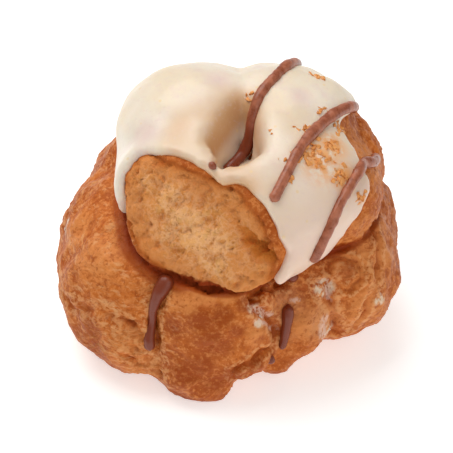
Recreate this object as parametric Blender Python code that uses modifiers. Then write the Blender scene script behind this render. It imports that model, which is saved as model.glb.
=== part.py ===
"""Iced choux bun: one browned bun, its icing cap and the chocolate strands run over both.
Metres, +Z up, -Y is the front. The origin is in the middle of the foot that the bun rests on."""

import math

import bmesh
import bpy
from mathutils import Matrix, Vector, noise
from mathutils.bvhtree import BVHTree

MM = 0.001

# Lobes of dough that grew into each other: centre and radii in mm (x, y, z), and squareness (under 1 is squarer).
BASE_LOBES = {
    "core": ((-1, 1, 14), (26, 24, 20), 1),
    "left": ((-13, -1.5, 12.5), (17.5, 23, 16), 0.85),
    "front": ((-1.9, -16, 14), (11.1, 12, 11.5), 0.65),
    "front_low": ((-5, -16.5, 7), (8.5, 11.5, 9), 0.8),
    "front_right": ((10, -11, 12.5), (9, 11.2, 10.6), 0.9),
    "right": ((17, 0, 15), (14, 18, 14), 0.8),
    "right_shoulder": ((18.5, 6, 29), (9.5, 12, 11), 1),
    "back_left": ((-8, 14, 15), (18, 15, 16), 0.9),
    "back_right": ((10, 15, 16), (16, 14, 17), 0.9),
}
TOP_LOBES = {
    "crown": ((3, -4, 33.5), (21.5, 20.5, 13), 0.95),
    "crown_side": ((14, -4, 31.5), (14, 14, 10.5), 1),
    "belly": ((0, -12, 31.9), (17.5, 16, 11.2), 1),
    "crown_left": ((-4.8, 4, 37.7), (13.9, 13, 10.6), 1),
    "crown_right": ((9.5, 4, 37.5), (14, 13, 10.5), 1),
}
LOBE_FILLET = 4
CROWN_FILLET = 12
SEAM_FILLET = 1
FUSE_VOXEL = 0.8 * MM

# The pit where the dough folded in on itself: its mouth, the way it goes in and its depth, how it is turned, and how
# far its walls stand from its middle on the left, right, front and back.
PIT_MOUTH = Vector((1.6, -10.6, 46.8)) * MM
PIT_WAY_IN = Vector((0.05, 0.25, -1)).normalized()
PIT_DEPTH = 9.5 * MM
PIT_TURN = math.radians(-4)
PIT_WALLS = {"left": 6.4 * MM, "right": 6.2 * MM, "front": 6.2 * MM, "back": 12 * MM}

# The oval where the bun tore off its neighbour: the face's centre, outward normal, long way and half sizes.
TORN_CENTRE = Vector((-5.2, -20, 33.8)) * MM
TORN_NORMAL = Vector((-0.37, -0.85, 0.37)).normalized()
TORN_LONG_WAY = Vector((0.77, -0.51, -0.39))
TORN_HALF_LENGTH = 15.8 * MM
TORN_HALF_WIDTH = 8.9 * MM
TORN_FLATNESS = 0.85

# Cracks and folds in the crust: the way each runs over the bun in mm, then its half width and depth in mm.
CRACKS = {
    "front_left": (((-10.8, -23, 24), (-13.9, -23.5, 18.5), (-13.2, -25, 9), (-12.4, -25, 1)), 1.6, 2.6),
    "fibrous": (((-18, -21, 15), (-17, -22.5, 7)), 3, 1.2),
    "front_right": (((4.5, -26, 24), (7, -26.6, 21), (9.4, -26, 17.5), (8.8, -27, 14.5), (5, -28, 12)), 1.6, 1.4),
    "left_ridge": (((-29.5, -6, 17), (-27, -14, 16.5), (-23.3, -19.6, 15.2), (-19.5, -21, 14.8)), 1.8, 1.1),
    "right_plate": (((16.5, -19, 22), (18.6, -17, 15), (19.5, -16, 8)), 1.6, 1.4),
    "right_edge": (((22, -10, 24), (27, -6, 17), (29, -3, 9)), 1.8, 1.3),
}
CRUST_SWELL = 1.1 * MM
CRUST_CRAG = 0.8 * MM
CHOUX_TRIANGLES = 6200

# The icing cap: its gap to the dough, its thickness, and how high its edge hangs (mm) at each angle round the crown.
GAP = 0.3 * MM
ICING_THICKNESS = 1.1 * MM
ICING_CENTRE = Vector((3, -5, 0)) * MM
ICING_EDGE = (
    (-90, 30), (-66, 25), (-45, 26), (-30, 32), (-18, 35), (-8, 39), (0, 41), (14, 43.5), (24, 42.5), (34, 41),
    (50, 37), (75, 39), (100, 36), (125, 38), (150, 33), (175, 28), (190, 29), (201, 34), (250, 34), (270, 30),
)
ICING_TORN_REACH = (1.1, 0.07)  # in the middle of the torn face, and how much it grows towards its right end
ICING_DABS = (((-0.4, -18.6, 43.4), 1.8), ((9.6, -23.4, 26.8), 1.6))
TORN_SKIN = 1.9 * MM
ICING_CLEARANCE = 2.4 * MM
CREASE_TOP = 34 * MM
EDGE_SMOOTHING = 3
SNAP = 0.5 * MM

# Chocolate strands: the way of each over the icing, and of each drip over the base, in mm.
STRAND_RADIUS = 1.05 * MM
STRAND_RISE = 0.35 * MM
STRAND_STEP = 1.6 * MM
WAY_SMOOTHING = 1
CROWN_HEART = Vector((3, -5, 28)) * MM
BASE_HEART = Vector((0, 0, 22)) * MM
ICING_STRANDS = {
    "inner": (
        (13, 15, 46), (11.7, 10.5, 48.5), (8.5, 4.2, 50), (5.9, 0, 49), (4.7, -2, 46.6), (4.1, -3.7, 44.6), (3.6, -4.8, 42),
        (2.9, -6, 39), (2, -8.4, 37.6), (0.6, -10.6, 37.8),
    ),
    "middle": ((22.4, 3.8, 43.5), (21.8, 2.5, 44), (18.7, -2.4, 46), (15.6, -7.2, 46), (12.5, -13.7, 46), (7.7, -22, 41)),
    "outer": (
        (24, -9.4, 40), (21.9, -14, 39.4), (19.6, -18, 38), (16.7, -21.8, 33), (15.2, -22.8, 28.5),
    ),
}
BASE_STRANDS = {
    "left_drip": ((-10.4, -22, 24.3), (-11.4, -22.6, 22.6), (-13.6, -23, 20), (-15.3, -24, 15.5), (-15.7, -25, 9.8)),
    "right_drip": ((11.3, -20.5, 17.4), (10.9, -21.3, 15.2), (10.2, -22.8, 13), (9.4, -23.9, 10.8)),
}

CRUST_COLOUR = (0.52, 0.21, 0.07, 1)
ICING_COLOUR = (0.87, 0.78, 0.62, 1)


def clear_scene():
    for obj in list(bpy.data.objects):
        bpy.data.objects.remove(obj)


def settled(obj):
    """The object with its modifiers applied to its mesh."""
    graph = bpy.context.evaluated_depsgraph_get()
    mesh = bpy.data.meshes.new_from_object(obj.evaluated_get(graph))
    obj.modifiers.clear()
    obj.data = mesh
    return obj


def lobe(name, centre, radii, squareness):
    """An ellipsoid, or a squarer lump where squareness is under 1."""
    bpy.ops.mesh.primitive_ico_sphere_add(subdivisions=5, radius=1)
    obj = bpy.context.object
    obj.name = name
    for vertex in obj.data.vertices:
        vertex.co = Vector([math.copysign(abs(x) ** squareness, x) for x in vertex.co])
    obj.scale = Vector(radii) * MM
    obj.location = Vector(centre) * MM
    bpy.ops.object.transform_apply(location=True, rotation=True, scale=True)
    return obj


def fused(name, lumps, fillet):
    """The lumps grown into one closed skin, with the creases between them rounded."""
    bpy.ops.object.select_all(action="DESELECT")
    for obj in lumps:
        obj.select_set(True)
    bpy.context.view_layer.objects.active = lumps[0]
    bpy.ops.object.join()
    body = lumps[0]
    body.name = name
    skin = body.modifiers.new("skin", "REMESH")
    skin.mode = "VOXEL"
    skin.voxel_size = FUSE_VOXEL
    rounding = body.modifiers.new("rounding", "SMOOTH")
    rounding.factor = 0.5
    rounding.iterations = fillet
    return settled(body)


def smoothstep(low, high, value):
    t = min(max((value - low) / (high - low), 0), 1)
    return t * t * (3 - 2 * t)


def sink_pit(body):
    for vertex in body.data.vertices:
        away = vertex.co - PIT_MOUTH
        across = (away - PIT_WAY_IN * away.dot(PIT_WAY_IN)).xy
        across.rotate(Matrix.Rotation(-PIT_TURN, 2))
        wall_x = PIT_WALLS["right" if across.x > 0 else "left"]
        wall_y = PIT_WALLS["back" if across.y > 0 else "front"]
        square = 1.4 if across.x < 0 else 2
        reach = ((abs(across.x) / wall_x) ** square + (abs(across.y) / wall_y) ** square) ** (1 / square)
        if away.length < 3 * PIT_DEPTH:
            floor_edge = 0.45 - 0.25 * smoothstep(-2 * MM, 4 * MM, across.y)
            vertex.co += PIT_WAY_IN * PIT_DEPTH * (1 - smoothstep(floor_edge, 1.15, reach))


def torn_axes():
    long_way = (TORN_LONG_WAY - TORN_NORMAL * TORN_LONG_WAY.dot(TORN_NORMAL)).normalized()
    return long_way, TORN_NORMAL.cross(long_way)


def torn_reach(point):
    """0 at the torn oval's centre and 1 on its rim, seen along its normal."""
    long_way, short_way = torn_axes()
    away = point - TORN_CENTRE
    return math.hypot(away.dot(long_way) / TORN_HALF_LENGTH, away.dot(short_way) / TORN_HALF_WIDTH)


def flatten_torn_face(body):
    for vertex in body.data.vertices:
        height = (vertex.co - TORN_CENTRE).dot(TORN_NORMAL)
        if height > -8 * MM:
            share = 1 - smoothstep(0.9, 1.25, torn_reach(vertex.co))
            vertex.co -= TORN_NORMAL * height * TORN_FLATNESS * share


def way_distance(point, way):
    """How far the point is from a way made of straight runs."""
    nearest = math.inf
    for start, end in zip(way, way[1:]):
        run = end - start
        along = min(max((point - start).dot(run) / run.length_squared, 0), 1)
        nearest = min(nearest, (point - start - run * along).length)
    return nearest


def press_cracks(body):
    normals = [vertex.normal.copy() for vertex in body.data.vertices]
    for points, half_width, depth in CRACKS.values():
        way = [Vector(point) * MM for point in points]
        for vertex, normal in zip(body.data.vertices, normals):
            reach = way_distance(vertex.co, way) / (half_width * MM)
            if reach < 2:
                vertex.co -= normal * depth * MM * (1 - smoothstep(0, 1.6, reach))


def roughen(body):
    """Uneven crust: swells over a centimetre and crags over a few millimetres, weaker on the crown."""
    for vertex, normal in [(vertex, vertex.normal.copy()) for vertex in body.data.vertices]:
        swell = noise.noise(vertex.co / (11 * MM))
        crag = noise.noise(vertex.co / (4 * MM) + Vector((7, 3, 1)))
        strength = 1 - 0.6 * smoothstep(24 * MM, 32 * MM, vertex.co.z)
        vertex.co += normal * (CRUST_SWELL * swell + CRUST_CRAG * crag) * strength


def cut_foot(body):
    mesh = bmesh.new()
    mesh.from_mesh(body.data)
    everything = mesh.verts[:] + mesh.edges[:] + mesh.faces[:]
    bmesh.ops.bisect_plane(mesh, geom=everything, plane_co=(0, 0, 0), plane_no=(0, 0, -1), clear_outer=True)
    bmesh.ops.holes_fill(mesh, edges=[edge for edge in mesh.edges if edge.is_boundary])
    mesh.to_mesh(body.data)
    mesh.free()


def thinned(body, triangles):
    """The body with about that many triangles left."""
    body.data.calc_loop_triangles()
    thin = body.modifiers.new("thin", "DECIMATE")
    thin.ratio = triangles / len(body.data.loop_triangles)
    thin.use_collapse_triangulate = True
    return settled(body)


def make_dough():
    base = fused("base", [lobe(name, *row) for name, row in BASE_LOBES.items()], LOBE_FILLET)
    top = fused("top", [lobe(name, *row) for name, row in TOP_LOBES.items()], CROWN_FILLET)
    sink_pit(top)
    flatten_torn_face(top)
    bun = fused("choux", [base, top], SEAM_FILLET)
    press_cracks(bun)
    roughen(bun)
    thinned(bun, CHOUX_TRIANGLES)
    cut_foot(bun)
    return bun


def icing_edge_height(angle):
    for (low, low_height), (high, high_height) in zip(ICING_EDGE, ICING_EDGE[1:]):
        if low <= angle <= high:
            return (low_height + (high_height - low_height) * smoothstep(low, high, angle)) * MM
    raise ValueError(f"no icing edge at {angle} degrees")


def icing_cover(point):
    """How far inside the icing's edge the point lies: over 0 is iced."""
    away = point - ICING_CENTRE
    angle = (math.degrees(math.atan2(away.y, away.x)) + 90) % 360 - 90
    above_edge = point.z - icing_edge_height(angle)
    behind_torn = -(point - TORN_CENTRE).dot(TORN_NORMAL) - TORN_SKIN
    along = (point - TORN_CENTRE).dot(TORN_LONG_WAY) / TORN_HALF_LENGTH
    past_torn = (torn_reach(point) - ICING_TORN_REACH[0] - ICING_TORN_REACH[1] * along) * TORN_HALF_WIDTH
    dab = max(radius * MM - (point - Vector(centre) * MM).length for centre, radius in ICING_DABS)
    return max(min(above_edge, max(past_torn, behind_torn)), dab)


def cut_along_edge(mesh, cover):
    """Split the faces along the icing's edge, and drop what lies outside it."""
    for vertex in mesh.verts:
        if abs(vertex[cover]) < SNAP:
            vertex[cover] = 0
    on_edge = [vertex for vertex in mesh.verts if vertex[cover] == 0]
    for edge in list(mesh.edges):
        start, end = (vertex[cover] for vertex in edge.verts)
        if start * end < 0:
            split = bmesh.utils.edge_split(edge, edge.verts[0], start / (start - end))[1]
            split[cover] = 0
            on_edge.append(split)
    bmesh.ops.connect_verts(mesh, verts=on_edge)
    outside = [face for face in mesh.faces if sum(vertex[cover] for vertex in face.verts) <= 0]
    bmesh.ops.delete(mesh, geom=outside, context="FACES")


def keep_largest_patch(mesh):
    left = set(mesh.faces)
    patches = []
    while left:
        patch, front = set(), [next(iter(left))]
        while front:
            face = front.pop()
            if face in left:
                left.remove(face)
                patch.add(face)
                front += [other for edge in face.edges for other in edge.link_faces]
        patches.append(patch)
    scraps = [face for patch in sorted(patches, key=len)[:-1] for face in patch]
    bmesh.ops.delete(mesh, geom=scraps, context="FACES")


def relax_edge(mesh, surface):
    """Even out the patch's edge, and keep it on the dough."""
    for _ in range(EDGE_SMOOTHING):
        moved = {}
        for vertex in mesh.verts:
            ends = [edge.other_vert(vertex).co for edge in vertex.link_edges if edge.is_boundary]
            if len(ends) == 2:
                moved[vertex] = surface.find_nearest(vertex.co / 2 + (ends[0] + ends[1]) / 4)[0]
        for vertex, spot in moved.items():
            vertex.co = spot


def make_icing(bun):
    """The bun's iced skin, lifted off it and thickened outwards, thinner at its edge."""
    mesh = bmesh.new()
    mesh.from_mesh(bun.data)
    bmesh.ops.triangulate(mesh, faces=mesh.faces)
    mesh.normal_update()
    surface = BVHTree.FromBMesh(mesh)
    cover = mesh.verts.layers.float.new("cover")
    for vertex in mesh.verts:
        vertex[cover] = icing_cover(vertex.co)
        if vertex.co.z < CREASE_TOP:
            room = surface.ray_cast(vertex.co + vertex.normal * 0.1 * MM, vertex.normal, 2 * ICING_CLEARANCE)[3]
            vertex[cover] = min(vertex[cover], (room or 2 * ICING_CLEARANCE) - ICING_CLEARANCE)
    for _ in range(EDGE_SMOOTHING):
        around = [[edge.other_vert(vertex)[cover] for edge in vertex.link_edges] for vertex in mesh.verts]
        for vertex, values in zip(mesh.verts, around):
            vertex[cover] = (vertex[cover] + sum(values) / len(values)) / 2
    cut_along_edge(mesh, cover)
    keep_largest_patch(mesh)
    relax_edge(mesh, surface)
    bmesh.ops.remove_doubles(mesh, verts=mesh.verts, dist=SNAP / 3)
    for vertex, normal in [(vertex, vertex.normal.copy()) for vertex in mesh.verts]:
        vertex.co += normal * GAP
    icing = bpy.data.objects.new("icing", bpy.data.meshes.new("icing"))
    bpy.context.scene.collection.objects.link(icing)
    mesh.to_mesh(icing.data)
    thickness = icing.vertex_groups.new(name="thickness")
    for vertex in mesh.verts:
        in_pit = 1 - smoothstep(4 * MM, 9 * MM, (vertex.co - PIT_MOUTH - PIT_WAY_IN * PIT_DEPTH).length)
        thickness.add([vertex.index], 0.55 if vertex.is_boundary else 1 - 0.45 * in_pit, "REPLACE")
    mesh.free()
    shell = icing.modifiers.new("shell", "SOLIDIFY")
    shell.thickness = ICING_THICKNESS
    shell.offset = 1
    shell.vertex_group = "thickness"
    return settled(icing)


def smooth_way(points, step):
    """Points every step along a smooth curve through the given ones, with the last point kept."""
    points = [Vector(point) * MM for point in points]
    padded = [2 * points[0] - points[1], *points, 2 * points[-1] - points[-2]]
    way = []
    for before, start, end, after in zip(padded, padded[1:], padded[2:], padded[3:]):
        count = max(round((end - start).length / step), 1)
        for k in range(count):
            t = k / count
            way.append(
                0.5 * (
                    2 * start + (end - before) * t + (2 * before - 5 * start + 4 * end - after) * t**2
                    + (3 * start - before - 3 * end + after) * t**3
                )
            )
    return way + [points[-1]]


def laid_way(way, surface, heart):
    """The way moved onto the outer skin, along lines from the body's heart, and half sunk in it."""
    laid = []
    for point in way:
        outwards = (point - heart).normalized()
        spot, normal = surface.ray_cast(point + outwards * 20 * MM, -outwards)[:2]
        laid.append(spot + normal * STRAND_RISE)
    for _ in range(WAY_SMOOTHING):
        inner = [(before + 2 * here + after) / 4 for before, here, after in zip(laid, laid[1:], laid[2:])]
        laid = [laid[0], *inner, laid[-1]]
    return laid


def strand(name, way):
    curve = bpy.data.curves.new(name, "CURVE")
    curve.dimensions = "3D"
    curve.bevel_depth = STRAND_RADIUS
    curve.bevel_resolution = 1
    curve.use_fill_caps = True
    line = curve.splines.new("POLY")
    line.points.add(len(way) - 1)
    for point, spot in zip(line.points, way):
        point.co = (*spot, 1)
    line.points[0].radius = line.points[-1].radius = 0.6
    obj = bpy.data.objects.new(name, curve)
    bpy.context.scene.collection.objects.link(obj)
    mesh = bpy.data.meshes.new_from_object(obj.evaluated_get(bpy.context.evaluated_depsgraph_get()))
    bpy.data.objects.remove(obj)
    solid = bmesh.new()
    solid.from_mesh(mesh)
    bmesh.ops.remove_doubles(solid, verts=solid.verts, dist=0.01 * MM)
    solid.to_mesh(mesh)
    solid.free()
    return bpy.data.objects.new(name, mesh)


def fuse_strands(body, strands, heart):
    """Join the strands to the body that they lie on, by one union."""
    mesh = bmesh.new()
    mesh.from_mesh(body.data)
    surface = BVHTree.FromBMesh(mesh)
    mesh.free()
    group = bpy.data.collections.new("strands")
    bpy.context.scene.collection.children.link(group)
    for name, points in strands.items():
        group.objects.link(strand(name, laid_way(smooth_way(points, STRAND_STEP), surface, heart)))
    union = body.modifiers.new("strands", "BOOLEAN")
    union.operation = "UNION"
    union.operand_type = "COLLECTION"
    union.collection = group
    union.solver = "MANIFOLD"
    settled(body)
    for obj in list(group.objects):
        bpy.data.objects.remove(obj)
    bpy.data.collections.remove(group)


def finish(obj, group, colour, roughness):
    """Give the piece its material and its place in the bun's collection."""
    for other in obj.users_collection:
        other.objects.unlink(obj)
    group.objects.link(obj)
    material = bpy.data.materials.new(obj.name)
    material.use_nodes = True
    shader = material.node_tree.nodes["Principled BSDF"]
    shader.inputs["Base Color"].default_value = colour
    shader.inputs["Roughness"].default_value = roughness
    shader.inputs["Metallic"].default_value = 0
    obj.data.materials.clear()
    obj.data.materials.append(material)


def main():
    clear_scene()
    bun = make_dough()
    icing = make_icing(bun)
    fuse_strands(icing, ICING_STRANDS, CROWN_HEART)
    fuse_strands(bun, BASE_STRANDS, BASE_HEART)
    group = bpy.data.collections.new("iced_choux_bun")
    bpy.context.scene.collection.children.link(group)
    finish(bun, group, CRUST_COLOUR, 0.75)
    finish(icing, group, ICING_COLOUR, 0.4)


if __name__ == "__main__":
    main()
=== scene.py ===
"""Iced choux bun: browned dough with a torn face, a poured icing cap, drizzled chocolate and loose crumbs.
Metres, +Z up, -Y is the front. The origin is in the middle of the foot that the bun rests on."""

import math

import bmesh
import bpy
from mathutils import Matrix, Vector, noise
from mathutils.bvhtree import BVHTree


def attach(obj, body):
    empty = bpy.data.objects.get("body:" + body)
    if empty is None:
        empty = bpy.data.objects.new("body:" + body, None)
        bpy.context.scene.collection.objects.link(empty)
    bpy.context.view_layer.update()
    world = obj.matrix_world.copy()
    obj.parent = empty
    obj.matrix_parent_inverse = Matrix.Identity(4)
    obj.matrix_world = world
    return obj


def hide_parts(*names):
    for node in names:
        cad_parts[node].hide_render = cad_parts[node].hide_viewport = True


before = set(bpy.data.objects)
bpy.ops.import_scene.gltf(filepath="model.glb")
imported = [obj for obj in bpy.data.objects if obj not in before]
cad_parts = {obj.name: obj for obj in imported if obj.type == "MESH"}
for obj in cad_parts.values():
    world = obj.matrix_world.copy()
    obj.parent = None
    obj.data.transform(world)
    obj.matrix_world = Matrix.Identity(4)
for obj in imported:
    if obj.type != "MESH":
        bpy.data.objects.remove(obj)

bl_info = {
    "name": "Iced Choux Bun",
    "version": (1, 0, 0),
    "blender": (4, 5, 0),
    "location": "3D View > Sidebar > Bun",
    "description": "Bakes an iced choux bun with chocolate strands, and sets it on a studio floor",
    "category": "Add Mesh",
}

MM = 0.001

# Lobes of dough that grew into each other: centre and radii in mm (x, y, z), and squareness (under 1 is squarer).
BASE_LOBES = {
    "low_ledge": ((8.3, -18.4, 5.4), (3.4, 3.6, 4.4), 1),
    "core": ((-1, 1, 14), (26, 24, 20), 1),
    "left": ((-13, -1.5, 12.5), (17.5, 23, 16), 0.85),
    "front": ((-1.9, -16, 14), (11.1, 12, 11.5), 0.65),
    "front_low": ((-5, -16.5, 7), (8.5, 11.5, 9), 0.8),
    "front_right": ((10, -11, 12.5), (9, 11.2, 10.6), 0.9),
    "right": ((17, 0, 15), (14, 18, 14), 0.8),
    "right_shoulder": ((18.5, 6, 29), (9.5, 12, 11), 1),
    "back_left": ((-8, 14, 15), (18, 15, 16), 0.9),
    "back_right": ((10, 15, 16), (16, 14, 17), 0.9),
}
TOP_LOBES = {
    "crown": ((3, -4, 33.5), (21.5, 20.5, 13), 0.95),
    "crown_side": ((14, -4, 31.5), (14, 14, 10.5), 1),
    "belly": ((0, -12, 31.9), (17.5, 16, 11.2), 1),
    "crown_left": ((-4.8, 4, 37.7), (13.9, 13, 10.6), 1),
    "crown_right": ((9.5, 4, 37.5), (14, 13, 10.5), 1),
}
LOBE_FILLET = 4
CROWN_FILLET = 12
SEAM_FILLET = 1
CRUST_FILLET = 2
ICING_FILLET = 5
FORM_VOXEL = 0.8 * MM
SEAM_HALF_WIDTH = 1.5  # mm
SEAM_DEPTH = 1.8 * MM
FOLD_HEIGHTS = (14 * MM, 44 * MM)  # the seam's fold is pressed in between these
CRUST_SWELL = 1.1 * MM
CRUST_CRAG = 0.8 * MM
TORN_STEP = 0.35 * MM  # how far the torn crumb lies behind the crust round it
FIBRE_HEIGHT = 2.4 * MM
FOOT_EDGE = 0.5 * MM
FOOT_HEIGHT = 4  # mm
NOISE_SEED = 4  # for the ragged edges of cracks, hollows and smears

# The pit where the dough folded in on itself, and how far its walls stand from its middle.
PIT_MOUTH = Vector((1.6, -10.6, 46.8)) * MM
PIT_WAY_IN = Vector((0.05, 0.25, -1)).normalized()
PIT_DEPTH = 9.5 * MM
PIT_TURN = math.radians(-4)
PIT_WALLS = {"left": 6.8 * MM, "right": 6.2 * MM, "front": 6.1 * MM, "back": 12 * MM}

# The oval where the bun tore off its neighbour, and the hollows in its crumb: centre, radius and depth in mm.
TORN_CENTRE = Vector((-5.2, -20, 33.8)) * MM
TORN_NORMAL = Vector((-0.37, -0.85, 0.37)).normalized()
TORN_LONG_WAY = Vector((0.77, -0.51, -0.39))
TORN_HALF_LENGTH = 15.8 * MM
TORN_HALF_WIDTH = 8.9 * MM
TORN_FLATNESS = 0.85
HOLLOWS = (
    ((-0.8, -20.6, 39.4), 1.1, 0.6), ((0.2, -21.4, 38.3), 1, 0.5), ((-5.7, -22.2, 30.2), 1.5, 0.6),
    ((1.4, -22.2, 36.9), 1.2, 0.8), ((2.7, -23.1, 35.6), 1.5, 1.5), ((4, -24, 34.5), 1.9, 2.4),
    ((5.6, -24.9, 33.5), 2, 2.9), ((7.1, -25.6, 32.6), 1.7, 2.1), ((-7.8, -20.9, 30.2), 1.5, 0.7),
)

# Cracks and folds in the crust: the way each runs over the bun in mm, then its half width and depth in mm.
CRACK_REACH = 2.6  # how far a crack and the painted highlight on its edges reach, in half widths
CRACKS = {
    "tip_seam": (((3.6, -24.2, 23.6), (5.6, -23.4, 23.2), (7.6, -22.2, 22.6), (10, -19, 20.9)), 0.7, 1.8),
    "front_left": (((-10.8, -23, 24), (-13.1, -24, 18.5), (-12.3, -25.5, 9), (-11.9, -25.5, 1)), 0.8, 1.7),
    "fibre_high": (((-18.2, -22.6, 16), (-16.8, -23.3, 15), (-15.4, -23.6, 13.8)), 0.9, 1.8),
    "fibre_mid": (((-18.6, -22.8, 13), (-17, -23.6, 12), (-15.8, -24, 10.6)), 0.7, 1.4),
    "fibre_low": (((-18, -23.4, 9.6), (-16.4, -24.2, 8), (-15, -24.8, 6.4)), 0.7, 1.4),
    "front_right": (((4.6, -25.4, 22.8), (6, -25.5, 20), (8.2, -23.6, 16.6), (9, -22.6, 12.5)), 1, 1.3),
    "front_step": (
        ((8.6, -23.5, 10.4), (6.5, -26, 11.2), (4.1, -27, 10.4), (2.4, -28.1, 9.7), (1.4, -28, 8.4), (1.4, -27.6, 5)),
        0.8, 1.2,
    ),
    "hole": (((4.8, -25.1, 23), (5.1, -25, 22.4)), 0.8, 1.8),
    "left_ridge": (((-29, -10, 15.5), (-27, -16.2, 14.6), (-24, -19.8, 16.2), (-20.4, -21.8, 16.4)), 1.1, 0.8),
    "right_plate": (((16.5, -19, 22), (18.6, -17, 15), (19.5, -16, 8)), 1.1, 1.3),
    "right_patch": (
        (
            (18.4, -15.5, 23.6), (20.6, -14.9, 23.9), (23.2, -15, 22.7), (24, -16.2, 20.9), (21.7, -17.6, 19.1),
            (18.2, -17.3, 20.4), (18.4, -15.5, 23.6),
        ),
        0.6, 0.7,
    ),
    "right_edge": (((22, -10, 24), (27, -6, 17), (29, -3, 9)), 1.6, 1.3),
    "right_band": (((26.6, -8, 27), (26.8, -13.4, 21), (25, -16.5, 14), (23, -16.5, 9)), 0.8, 1),
}

# How high the icing's edge hangs (mm) at each angle round the crown, and how it keeps off the torn oval.
ICING_CENTRE = Vector((3, -5, 0)) * MM
ICING_EDGE = (
    (-90, 30), (-66, 25), (-45, 26), (-30, 32), (-18, 35), (-8, 39), (0, 41), (14, 43.5), (24, 42.5), (34, 41),
    (50, 37), (75, 39), (100, 36), (125, 38), (150, 33), (175, 28), (190, 29), (201, 34), (250, 34), (270, 30),
)
ICING_TORN_REACH = (1.1, 0.07)  # in the middle of the torn face, and how much it grows towards its right end
TORN_SKIN = 1.9 * MM  # the icing may come this close behind the torn face

# Spots that the icing runs on over or stops short of, as a centre and a radius in mm.
ICING_DABS = (((-0.4, -18.6, 43.4), 1.8), ((9.6, -23.4, 26.8), 1.6))
ICING_BITES = (
    ((1.8, -20.6, 41.4), 2.4), ((3.6, -22.3, 40.2), 2.2), ((5.2, -23.4, 38.6), 2.1), ((6.9, -24.6, 36.6), 1.8),
    ((-14.6, -11.6, 40.6), 2.8),
)
PIT_LIP, PIT_LIP_DIP = Vector((-0.3, -16, 44.9)) * MM, 0.4 * MM
PIT_COVER = 1.22  # how far past the pit's walls the icing is sure to lie
PIT_THINNING = 0.05  # how much thinner the icing is in the pit
ICING_CLEARANCE = 2.4 * MM  # the icing stops where a crease leaves less room than this
CREASE_TOP = 34 * MM  # no crease is looked for above this
EDGE_SMOOTHING = 3
SNAP = 0.5 * MM

# Chocolate strands: the way of each over the icing, and of each drip over the base, in mm.
CROWN_HEART = Vector((3, -5, 28)) * MM
BASE_HEART = Vector((0, 0, 22)) * MM
STRAND_STEP = 0.8 * MM
STRAND_EASING = 6
STRAND_RIPPLE = 0.25 * MM
DEEP_IN_PIT, BESIDE_PIT = 3 * MM, 8 * MM
WELL_OUTSIDE = 20  # mm
ICING_STRANDS = {
    "inner": (
        (13, 15, 46), (11.7, 10.5, 48.5), (8.5, 4.2, 50), (5.9, 0, 49), (4.9, -2, 46.6), (4.3, -3.3, 44.6),
        (3.9, -4, 42.3), (3.1, -4.6, 39.9), (1.9, -5.8, 38.4), (0.6, -7.4, 37.8), (-0.2, -8.8, 37.8),
    ),
    "middle": ((24, 8, 42), (21.8, 2.5, 44), (18.7, -2.4, 46), (15.6, -7.2, 46), (12.5, -13.7, 46), (7.7, -22, 41)),
    "outer": (
        (28.4, 0, 36), (27.6, -4.2, 37.5), (24.6, -8.5, 40), (19.6, -18, 38), (16.7, -21.8, 33), (15.2, -22.8, 28.5),
    ),
    "rim_bit": ((-3.1, -15.8, 45), (-2.4, -16.5, 44.8), (-1.8, -17.1, 44.5)),
}
BASE_STRANDS = {
    "left_drip": (
        (-10.4, -22, 24.3), (-11.4, -22.6, 22.6), (-12.9, -23.3, 20), (-13.8, -24.2, 15.8), (-14, -25.5, 10.6),
    ),
    "right_drip": ((11.5, -21.6, 17.6), (11.1, -22.3, 15), (10.4, -21.8, 11.6), (9.7, -21.8, 8.8)),
    "right_end": ((8.6, -24.8, 7.4), (8.2, -25.1, 6.4), (7.7, -25.3, 5.2)),
    "under_icing": ((13, -18.2, 22.8), (12.2, -18.4, 22), (11.2, -18.7, 21)),
}

# How thick a strand is along its way, as shares of the strand radius. The others are 1 all along.
STRAND_GIRTHS = {
    "rim_bit": (0.85, 0.8), "left_drip": (1.35, 1.6, 1, 0.75, 0.75, 0.95, 1.1),
    "right_drip": (0.95, 1.1, 0.85, 0.75, 0.7), "right_end": (1.2, 1.1), "under_icing": (1.2, 1.1),
}

# Spots on the icing, as a centre and a radius in mm: where crumbs lie, and where it is stained or blushes.
CRUMB_SPOTS = (
    ((15.5, -13, 44.5), 3.4), ((18, -9.5, 44), 2.6), ((19.5, -14.5, 41.5), 2.6), ((20, -4, 44), 2),
    ((16.3, 7.2, 47.7), 2.2), ((4, 0.2, 48.1), 1.2), ((13.8, -7.6, 46.1), 1.8), ((7.4, -9.5, 46.9), 1.1),
    ((23.7, -14.2, 36.1), 2), ((17, -2.4, 46.7), 2), ((12.9, -14.3, 45), 1.8), ((24.5, -8, 40.5), 1.6),
    ((9.5, -15.1, 45.4), 1), ((11.1, -18.6, 43.6), 1), ((12.3, -8.1, 46.6), 0.9),
)
ICING_SPOTS = {
    "stain": (
        ((16.5, -13.5, 44), 7), ((18.5, -9, 44), 5), ((20.5, -14, 41), 5), ((16.3, 7.2, 47.7), 1.6),
        ((23.7, -14.2, 36.1), 1.4),
    ),
    "blush": (((-1.6, 3.6, 48.5), 4.5), ((13.1, -0.6, 48.4), 3.6), ((-14, -6, 44), 5)),
}
THIN_AND_SHADE_WAY, THIN_AND_SHADE_SPAN = Vector((0.5, -0.45, -0.75)), (-27, -4)  # the icing thins and takes painted shade this way, over this span in mm
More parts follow.
